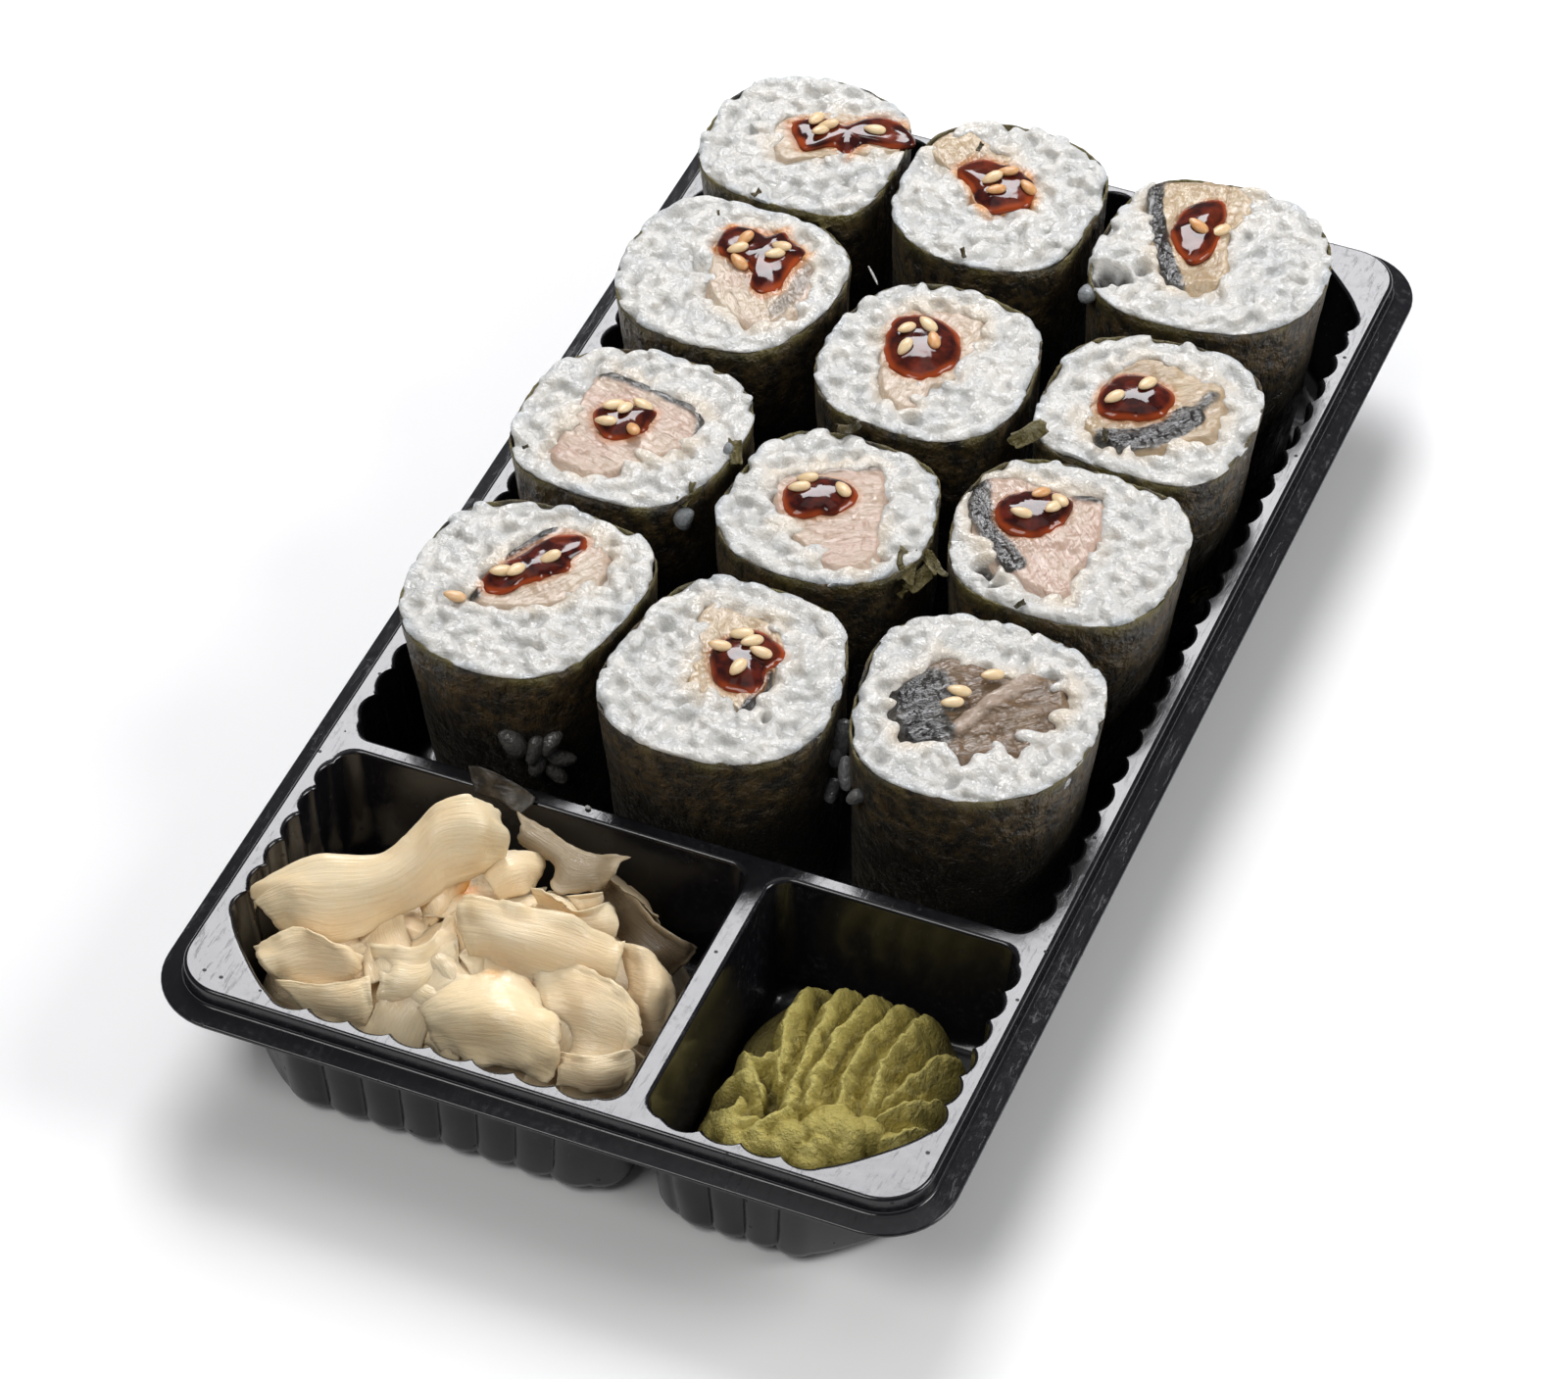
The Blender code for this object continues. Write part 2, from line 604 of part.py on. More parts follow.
def flatten_below(bm, floor):
    """Cuts a closed mesh off at the floor and closes it with one flat face."""
    cut = bmesh.ops.bisect_plane(bm, geom=bm.verts[:] + bm.edges[:] + bm.faces[:],
                                 plane_co=(0, 0, floor + 0.01), plane_no=(0, 0, 1),
                                 clear_inner=True)
    rim = [item for item in cut["geom_cut"] if isinstance(item, bmesh.types.BMEdge)]
    bmesh.ops.contextual_create(bm, geom=rim)
    bmesh.ops.recalc_face_normals(bm, faces=bm.faces)


def reach_to_wall(x, y, angle):
    """How far a ray from a point of the paste's well runs before its wall."""
    ray = Vector((math.cos(angle), math.sin(angle)))
    back = (SMALL_BACK_Y - WALL_CLEAR - y) / ray.y
    side = WELL_HALF_X if ray.x > 0 else WASABI_LEFT_X
    return min(back, (abs(side - x) - WALL_CLEAR) / max(abs(ray.x), 0.05))


def paste_rows():
    """Rows of points across the fan of ridges, from its root outwards."""
    x, y = PASTE_ROOT
    first, last = PASTE_FAN
    near, far = PASTE_REACH
    columns = RIDGES * RIDGE_STEPS
    rows = []
    for r in range(PASTE_ROWS):
        share = r / (PASTE_ROWS - 1)
        row = []
        for c in range(columns + 1):
            angle = math.radians(at_level(PASTE_FAN, c / columns))
            ridge = 0.5 - 0.5 * math.cos(2 * math.pi * c / RIDGE_STEPS)
            reach = min(far, reach_to_wall(x, y, angle) - 1) + ridge
            along = near + (reach - near) * share
            height = PASTE_HEIGHT + RIDGE_HEIGHT * ridge * (0.5 + 0.5 * share)
            if r == PASTE_ROWS - 1:
                height *= PASTE_RIM
            row.append((x + along * math.cos(angle), y + along * math.sin(angle),
                        FLOOR_Z + height))
        rows.append(row)
    return rows


def add_lump(extras, number, x, y, radius):
    bm = bmesh.new()
    bmesh.ops.create_icosphere(bm, subdivisions=1, radius=radius)
    rng = random.Random(number)
    for vert in bm.verts:
        vert.co *= rng.uniform(1 - LUMP_UNEVEN, 1 + LUMP_UNEVEN)
    middle = FLOOR_Z + PASTE_HEIGHT - radius * 0.4
    bmesh.ops.translate(bm, vec=(x, y, middle), verts=bm.verts)
    keep_in_well(bm, WASABI_LEFT_X, WELL_HALF_X, 1)
    new_mesh_object(f"lump_{number}", bm, extras)


def make_wasabi(collection, mat):
    """Green paste pressed out in a fan of ridges from a lumpy root at the front of its well."""
    rows = paste_rows()
    border = rows[-1] + [row[-1] for row in rows[-2:0:-1]]
    border += rows[0][::-1] + [row[0] for row in rows[1:-1]]
    bm = bmesh.new()
    verts = {point: bm.verts.new(point) for row in rows for point in row}
    for near, far in zip(rows, rows[1:]):
        for i in range(len(near) - 1):
            bm.faces.new((verts[near[i]], verts[far[i]], verts[far[i + 1]], verts[near[i + 1]]))
    root = Vector(PASTE_ROOT)
    foot = []
    for point in border:
        place = root + (Vector(point[:2]) - root) * FOOT_SIZE
        foot.append(bm.verts.new((place.x, place.y, FLOOR_Z)))
    loft(bm, [verts[point] for point in border], foot)
    bm.faces.new(foot)
    bmesh.ops.recalc_face_normals(bm, faces=bm.faces)
    wasabi = new_mesh_object("wasabi", bm, collection)
    extras = bpy.data.collections.new("wasabi_lumps")
    for number, (x, y, radius) in enumerate(LUMPS):
        add_lump(extras, number, x, y, radius)
    union(wasabi, extras)
    shade(wasabi, mat, 50)


def make_scrap(collection, mat):
    """A shred of fish skin lying over the cross divider."""
    x, y, turn = SCRAP_PLACE
    bm = bmesh.new()
    bmesh.ops.create_grid(bm, x_segments=5, y_segments=2, size=0.5)
    bmesh.ops.triangulate(bm, faces=bm.faces)
    for vert in bm.verts:
        wave = 1 + math.sin(7 * vert.co.x + 3 * vert.co.y)
        taper = 1 - 2 * SCRAP_TAPER * abs(vert.co.x)
        vert.co = (vert.co.x * SCRAP_LENGTH, vert.co.y * SCRAP_WIDTH * taper, wave * SCRAP_WAVE)
    turn_about_z(bm, turn)
    bmesh.ops.translate(bm, vec=(x, y, TRAY_HEIGHT + GAP + SCRAP_THICKNESS), verts=bm.verts)
    scrap = new_mesh_object("skin_scrap", bm, collection)
    add_sheet(scrap, SCRAP_THICKNESS)
    shade(scrap, mat, 50)


def main():
    for obj in list(bpy.data.objects):
        bpy.data.objects.remove(obj)
    collection = bpy.data.collections.new("sushi_tray")
    bpy.context.scene.collection.children.link(collection)
    seaweed = material("seaweed", (0.022, 0.026, 0.018), 0.5)
    rice = material("rice", (0.78, 0.77, 0.73), 0.4)
    fish = material("fish", (0.55, 0.42, 0.34), 0.35)
    sauce = material("sauce", (0.09, 0.02, 0.012), 0.12)
    make_tray(collection, material("black_sheet", (0.012, 0.012, 0.014), 0.18))
    for roll in ROLLS:
        make_nori(roll, collection, seaweed)
        make_rice(roll, collection, rice)
        make_filling(roll, collection, fish)
        if roll.sauce:
            make_sauce(roll, collection, sauce)
    make_ginger(collection, material("pickled_ginger", (0.78, 0.66, 0.45), 0.3))
    make_wasabi(collection, material("green_paste", (0.35, 0.36, 0.08), 0.5))
    make_scrap(collection, material("fish_skin", (0.16, 0.14, 0.12), 0.45))


main()
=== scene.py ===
"""Takeaway sushi tray: the looks of a black fluted tray with twelve thick rolls, pickled ginger and
ridged green paste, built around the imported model. Sizes are in millimetres until a mesh is made.
"""
import math
import random

import bmesh
import bpy
import numpy as np
from bpy.props import FloatProperty, FloatVectorProperty, IntProperty, PointerProperty
from mathutils import Matrix, Vector


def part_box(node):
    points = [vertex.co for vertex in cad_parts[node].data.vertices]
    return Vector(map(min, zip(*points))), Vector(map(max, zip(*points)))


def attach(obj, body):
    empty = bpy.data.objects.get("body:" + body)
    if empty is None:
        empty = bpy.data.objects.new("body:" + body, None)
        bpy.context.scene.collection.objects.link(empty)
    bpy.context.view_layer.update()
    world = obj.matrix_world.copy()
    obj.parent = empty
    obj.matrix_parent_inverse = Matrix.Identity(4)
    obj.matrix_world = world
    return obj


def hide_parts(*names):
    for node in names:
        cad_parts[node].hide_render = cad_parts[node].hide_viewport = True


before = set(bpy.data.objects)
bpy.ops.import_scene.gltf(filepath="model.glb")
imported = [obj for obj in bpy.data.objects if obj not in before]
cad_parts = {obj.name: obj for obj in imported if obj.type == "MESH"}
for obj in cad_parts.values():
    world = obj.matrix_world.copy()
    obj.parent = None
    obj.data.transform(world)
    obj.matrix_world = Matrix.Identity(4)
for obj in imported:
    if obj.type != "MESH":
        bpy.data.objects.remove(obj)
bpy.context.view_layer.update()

bl_info = {
    "name": "Takeaway sushi tray",
    "version": (1, 0, 0),
    "blender": (4, 5, 0),
    "location": "3D View > Sidebar > Sushi tray",
    "description": "Dresses a tray of sushi rolls, ginger and paste with fine shapes and finishes",
    "category": "Object",
}

MM = 0.001

# The photo's camera: pixels of a 1600 x 1407 picture, degrees and millimetres
PICTURE_WIDTH = 1600
PICTURE_CENTRE = (800.0, 703.5)
FOCAL_PIXELS = 5959.6
CAMERA_AZIMUTH = 22.33
CAMERA_ELEVATION = 44.68
CAMERA_DISTANCE = 834.8
CAMERA_ASIDE = (5.73, 13.23)
SENSOR = 36.0

# Tray
TRAY_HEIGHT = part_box("tray")[1].z / MM
SHEET = 0.5
FLANGE_HALF_X = 54.0
FLANGE_HALF_Y = 102.0
FLANGE_CORNER = 7.2
STEP_DROP = 2.7
STEP_SLOPE = 0.15
LEDGE_WIDTH = 3.1
LEDGE_FALL = 0.45
LIP_DROP = 0.9
EDGE_ROUND = 0.55
WELL_HALF_X = 50.5
WELL_HALF_Y = 99.2
MAIN_FRONT_Y = -50.7
SMALL_BACK_Y = -53.4
GINGER_RIGHT_X = 10.9
WASABI_LEFT_X = 14.4
WALL_DRAFT = 1.0
FLOOR_FILLET = 2.4
FLUTE_PITCH = 5.6
FLUTE_DEPTH = 1.1
FLUTE_LEFT_AT_FLOOR = 0.25
FLUTE_STEPS = 8
OUTER_CHAMFER = 11.0
INNER_CORNER = 3.2

# Rolls
FLOOR_Z = SHEET + 0.3
ROLL_TOP = TRAY_HEIGHT + 14.4
FOOT_SIZE = 0.87
FOOT_PULL_X = 0.955
FOOT_PULL_Y = 0.98
ROLLS_MID_Y = 24.0
PRESS = 9
UNEVEN_TWO = 0.018
UNEVEN_THREE = 0.014
NEIGHBOUR_REACH = 60
LEAST_FACING = 0.15
HALF_GAP = 0.2
WALL_X = (46.4, 51.5)
WALL_FRONT_Y = (-46.9, -52.4)
WALL_BACK_Y = 95.8
SHEET_DROP = 0.80
SHEET_THICKNESS = 0.35


def clamp01(value):
    return np.clip(value, 0, 1)


def smooth_step(value):
    value = clamp01(value)
    return value * value * (3 - 2 * value)


def lattice(ix, iy, iz, seed):
    """A fixed random number from -1 to 1 for each whole-numbered place."""
    h = (ix * 374761393 + iy * 668265263 + iz * 1440662683 + seed * 1274126177) & 0xFFFFFFFF
    h = ((h ^ (h >> 13)) * 1274126177) & 0xFFFFFFFF
    return ((h ^ (h >> 16)) & 0xFFFF) / 32767.5 - 1


def noise(points, size, seed=0):
    """Smooth bumps from -1 to 1 of about this size at each point."""
    scaled = np.asarray(points, float) / size
    cell = np.floor(scaled).astype(np.int64)
    part = smooth_step(scaled - cell)
    total = 0
    for corner in range(8):
        dx, dy, dz = corner & 1, corner >> 1 & 1, corner >> 2
        weight = (np.where(dx, part[..., 0], 1 - part[..., 0])
                  * np.where(dy, part[..., 1], 1 - part[..., 1])
                  * np.where(dz, part[..., 2], 1 - part[..., 2]))
        total = total + weight * lattice(cell[..., 0] + dx, cell[..., 1] + dy, cell[..., 2] + dz, seed)
    return total


def rough(points, size, seed=0, octaves=3):
    """Bumps of several sizes, each half as large and half as strong as the one before."""
    return sum(noise(points, size / 2 ** i, seed + i) / 2 ** i for i in range(octaves))


def stacked(*columns):
    return np.stack(np.broadcast_arrays(*columns), axis=-1)


def catmull(points, steps):
    """Points along a smooth curve through guide points, along the first axis."""
    points = np.asarray(points, float)
    ends = np.concatenate([[2 * points[0] - points[1]], points, [2 * points[-1] - points[-2]]])
    rows = []
    for i in range(len(points) - 1):
        a, b, c, d = ends[i:i + 4]
        for step in range(steps):
            t = step / steps
            rows.append(0.5 * (2 * b + (c - a) * t + (2 * a - 5 * b + 4 * c - d) * t ** 2
                               + (3 * b - a - 3 * c + d) * t ** 3))
    rows.append(points[-1])
    return np.array(rows)


def distance_to(line, x, y):
    """How far each place is from a line of points, seen from above."""
    best = np.full(np.shape(x), 1e9)
    for a, b in zip(line, line[1:]):
        run = b[:2] - a[:2]
        share = clamp01(((x - a[0]) * run[0] + (y - a[1]) * run[1]) / max(run @ run, 1e-9))
        best = np.minimum(best, np.hypot(x - a[0] - share * run[0], y - a[1] - share * run[1]))
    return best


class Builder:
    """Gathers points, faces and values at the points, in millimetres, and makes one mesh."""

    def __init__(self):
        self.points = []
        self.faces = []
        self.values = {}
        self.count = 0

    def add(self, points, faces, **values):
        points = np.asarray(points, float).reshape(-1, 3)
        self.faces += [tuple(int(i) + self.count for i in face) for face in faces]
        for name, value in values.items():
            self.values.setdefault(name, []).append((self.count, np.broadcast_to(value, len(points))))
        self.points.append(points)
        self.count += len(points)

    def make(self, name, *materials):
        mesh = bpy.data.meshes.new(name)
        mesh.from_pydata((np.concatenate(self.points) * MM).tolist(), [], self.faces)
        for mat in materials:
            mesh.materials.append(mat)
        mesh.shade_smooth()
        for value_name, runs in self.values.items():
            whole = np.zeros(self.count)
            for start, run in runs:
                whole[start:start + len(run)] = run
            add_values(mesh, value_name, whole)
        obj = bpy.data.objects.new(name, mesh)
        bpy.context.scene.collection.objects.link(obj)
        return obj


def add_values(mesh, name, values):
    layer = mesh.attributes.new(name, "FLOAT", "POINT")
    layer.data.foreach_set("value", np.asarray(values, np.float32))


def add_places(mesh, name, places):
    layer = mesh.attributes.new(name, "FLOAT_VECTOR", "POINT")
    layer.data.foreach_set("vector", (np.asarray(places) * MM).astype(np.float32).ravel())


def put(obj, slot, *nodes):
    """Rides a piece on the tray's body and hides the nodes that it stands for. The finish slot is not used.
    """
    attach(obj, "root")
    if nodes:
        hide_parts(*nodes)


def ring_faces(rows, columns, closed=True):
    """Quads of a grid of points in rows, each row a ring if closed."""
    faces = []
    last = columns if closed else columns - 1
    for row in range(rows - 1):
        for i in range(last):
            j = (i + 1) % columns
            faces.append((row * columns + i, row * columns + j,
                          (row + 1) * columns + j, (row + 1) * columns + i))
    return faces


def tube_faces(rows, columns):
    """Quads of rows of rings whose last row meets the first."""
    last = (rows - 1) * columns
    closing = [(last + i, last + (i + 1) % columns, (i + 1) % columns, i) for i in range(columns)]
    return ring_faces(rows, columns) + closing


def disc_places(x, y, shares, edge, angles):
    """A middle place, and rings round it out to an edge that is given for each angle."""
    ring_x = np.outer(shares, edge * np.cos(angles)).ravel()
    ring_y = np.outer(shares, edge * np.sin(angles)).ravel()
    return x + np.concatenate([[0], ring_x]), y + np.concatenate([[0], ring_y])


def disc_faces(rings, columns):
    """Faces of a middle point, numbered 0, with rings of points round it, facing up."""
    faces = [(0, 1 + i, 1 + (i + 1) % columns) for i in range(columns)]
    for face in ring_faces(rings, columns):
        faces.append(tuple(i + 1 for i in reversed(face)))
    return faces


def add_solid_disc(builder, rings, columns, points, under, **values):
    """A disc of rings with a skirt down to a closed underside."""
    faces = disc_faces(rings, columns)
    first = 1 + (rings - 1) * columns
    start = first + columns
    for i in range(columns):
        j = (i + 1) % columns
        faces.append((first + i, start + i, start + j, first + j))
    faces.append(tuple(reversed(range(start, start + columns))))
    padded = {name: np.concatenate([np.broadcast_to(value, len(points)), np.zeros(columns)])
              for name, value in values.items()}
    builder.add(np.concatenate([points, under]), faces, **padded)


def add_leaf(builder, upper, lower, rows, columns, **values):
    """A thin solid between two grids of points."""
    half = rows * columns
    top = ring_faces(rows, columns, closed=False)
    faces = top + [tuple(i + half for i in reversed(face)) for face in top]
    ring = ([j for j in range(columns)] + [i * columns + columns - 1 for i in range(1, rows)]
            + [(rows - 1) * columns + j for j in range(columns - 2, -1, -1)]
            + [i * columns for i in range(rows - 2, 0, -1)])
    for a, b in zip(ring, ring[1:] + ring[:1]):
        faces.append((b, a, a + half, b + half))
    builder.add(np.concatenate([upper, lower]), faces, **values)


class Picture:
    """The photo's camera, which gives real places for its pixels."""

    azimuth = math.radians(CAMERA_AZIMUTH)
    elevation = math.radians(CAMERA_ELEVATION)
    right = Vector((math.cos(azimuth), math.sin(azimuth), 0))
    back = Vector((math.sin(azimuth) * math.cos(elevation),
                   -math.cos(azimuth) * math.cos(elevation), math.sin(elevation)))
    up = back.cross(right)
    eye = (Vector((0, 0, TRAY_HEIGHT)) + back * CAMERA_DISTANCE
           - right * CAMERA_ASIDE[0] - up * CAMERA_ASIDE[1])

    @classmethod
    def place(cls, pixel_x, pixel_y, height):
        """The place seen at a pixel, on the level plane at this height above the tray's foot."""
        aside = (pixel_x - PICTURE_CENTRE[0]) / FOCAL_PIXELS
        above = (PICTURE_CENTRE[1] - pixel_y) / FOCAL_PIXELS
        ray = cls.right * aside + cls.up * above - cls.back
        return cls.eye + ray * ((height - cls.eye.z) / ray.z)

    @classmethod
    def places(cls, guides, height):
        return np.array([tuple(cls.place(x, y, height)) for x, y in guides])

    @classmethod
    def touch(cls, pixel_x, pixel_y):
        """The place on a roll's outside seen at a pixel, and the direction that it faces."""
        for step in range(int((ROLL_TOP - FLOOR_Z) * 5)):
            height = ROLL_TOP - 0.5 - step / 5
            at = cls.place(pixel_x, pixel_y, height)
            level = (height - FLOOR_Z) / (ROLL_TOP - FLOOR_Z)
            for roll in ROLLS:
                x, y = roll.centre(level)
                angle = math.atan2(at.y - y, at.x - x)
                limit = float(roll.outline(np.array([angle]), level)[0])
                if math.hypot(at.x - x, at.y - y) < limit:
                    return at, Vector((math.cos(angle), math.sin(angle), 0.25)).normalized()
        return cls.place(pixel_x, pixel_y, FLOOR_Z), Vector((0, 0, 1))


class Patch:
    """A closed outline through picture points on one level, kept as a radius for each angle."""

    angles = np.linspace(-math.pi, math.pi, 361)

    def __init__(self, guides, height):
        places = Picture.places(guides, height)[:, :2]
        self.x, self.y = places.mean(axis=0)
        closed = np.concatenate([places[-1:], places, places[:2]])
        away = catmull(closed, 8)[8:-8] - (self.x, self.y)
        found = np.arctan2(away[:, 1], away[:, 0])
        order = np.argsort(found)
        self.table = np.interp(self.angles, found[order], np.hypot(*away.T)[order], period=2 * math.pi)

    def radius(self, angles):
        return np.interp(angles, self.angles, self.table, period=2 * math.pi)

    def reach(self, x, y):
        """How far places are outside the outline, below zero inside it."""
        return np.hypot(x - self.x, y - self.y) - self.radius(np.arctan2(y - self.y, x - self.x))


class Roll:
    """One roll: its place on the top plane, its free radius, and what shows at its cut."""

    def __init__(self, name, x, y, radius, lift=0.0, flesh=(), pool=(), pool_height=1.1, middle=(0, 0),
                 seeds=(), skins=(), grain=0.0, tone=0.0, stain=0.0, relief=0.3, pits=()):
        self.name = name
        self.x, self.y = x, y
        self.radius = radius
        self.top = ROLL_TOP + lift
        self.flesh = Patch(flesh, self.top)
        self.pool = Patch(pool, self.top) if pool else None
        self.pool_height = pool_height
        self.middle = middle
        self.seeds = seeds
        self.skins = [(Picture.places(line, self.top), width, tone) for width, tone, line in skins]
        self.grain = math.radians(grain)
        self.tone = tone
        self.stain = stain
        self.relief = relief
        self.pits = [(Picture.place(px, py, self.top), size, depth) for px, py, size, depth in pits]

    def centre(self, level):
        foot_x = self.x * FOOT_PULL_X
        foot_y = ROLLS_MID_Y + (self.y - ROLLS_MID_Y) * FOOT_PULL_Y
        return foot_x + (self.x - foot_x) * level, foot_y + (self.y - foot_y) * level

    def size(self, level):
        return FOOT_SIZE + (1 - FOOT_SIZE) * level

    def outline(self, angles, level):
        """The outside's radius: round where free, flat where a neighbour or the tray presses."""
        x, y = self.centre(level)
        phase = self.x + 3 * self.y
        uneven = 1 + UNEVEN_TWO * np.cos(2 * angles + phase)
        uneven = uneven + UNEVEN_THREE * np.cos(3 * angles + 2 * phase)
        total = (self.radius * uneven * self.size(level)) ** -PRESS
        ray_x, ray_y = np.cos(angles), np.sin(angles)
        for other in ROLLS:
            other_x, other_y = other.centre(level)
            away = math.hypot(other_x - x, other_y - y)
            if other is self or away >= NEIGHBOUR_REACH:
                continue
            facing = (ray_x * (other_x - x) + ray_y * (other_y - y)) / away
            wider = (self.radius ** 2 - other.radius ** 2) * self.size(level) ** 2
            limit = ((away ** 2 + wider) / (2 * away) - HALF_GAP) / np.maximum(facing, LEAST_FACING)
            total = total + np.where(facing > LEAST_FACING, limit ** -PRESS, 0)
        wall_x = WALL_X[0] + (WALL_X[1] - WALL_X[0]) * level
        limit = (wall_x - x * np.sign(ray_x)) / np.maximum(abs(ray_x), LEAST_FACING)
        total = total + np.where(abs(ray_x) > LEAST_FACING, limit ** -PRESS, 0)
        front = WALL_FRONT_Y[0] + (WALL_FRONT_Y[1] - WALL_FRONT_Y[0]) * level
        limit = np.where(ray_y > 0, WALL_BACK_Y - y, y - front) / np.maximum(abs(ray_y), LEAST_FACING)
        total = total + np.where(abs(ray_y) > LEAST_FACING, limit ** -PRESS, 0)
        return total ** (-1 / PRESS)

    def inside(self, x, y):
        """How far places on the cut face are inside the roll's outline, and their angles."""
        angles = np.arctan2(y - self.y, x - self.x)
        return self.outline(angles, 1) - np.hypot(x - self.x, y - self.y), angles

    def hold(self, points, level, gap):
        """Move places that lie too far out back inside the sheet round the roll."""
        middle = np.array(self.centre(level))
        away = points[:, :2] - middle
        limit = self.outline(np.arctan2(away[:, 1], away[:, 0]), level) - gap
        share = np.minimum(1, limit / np.maximum(np.hypot(away[:, 0], away[:, 1]), 0.1))
        points[:, :2] = middle + away * share[:, None]

    def pool_dome(self, x, y):
        """The sauce's rounded height over its edge."""
        away = np.hypot(x - self.pool.x, y - self.pool.y)
        reach = self.pool.radius(np.arctan2(y - self.pool.y, x - self.pool.x))
        share = clamp01(away / np.maximum(reach, 0.1))
        return self.pool_height * (1 - share ** 2.2) ** 0.75


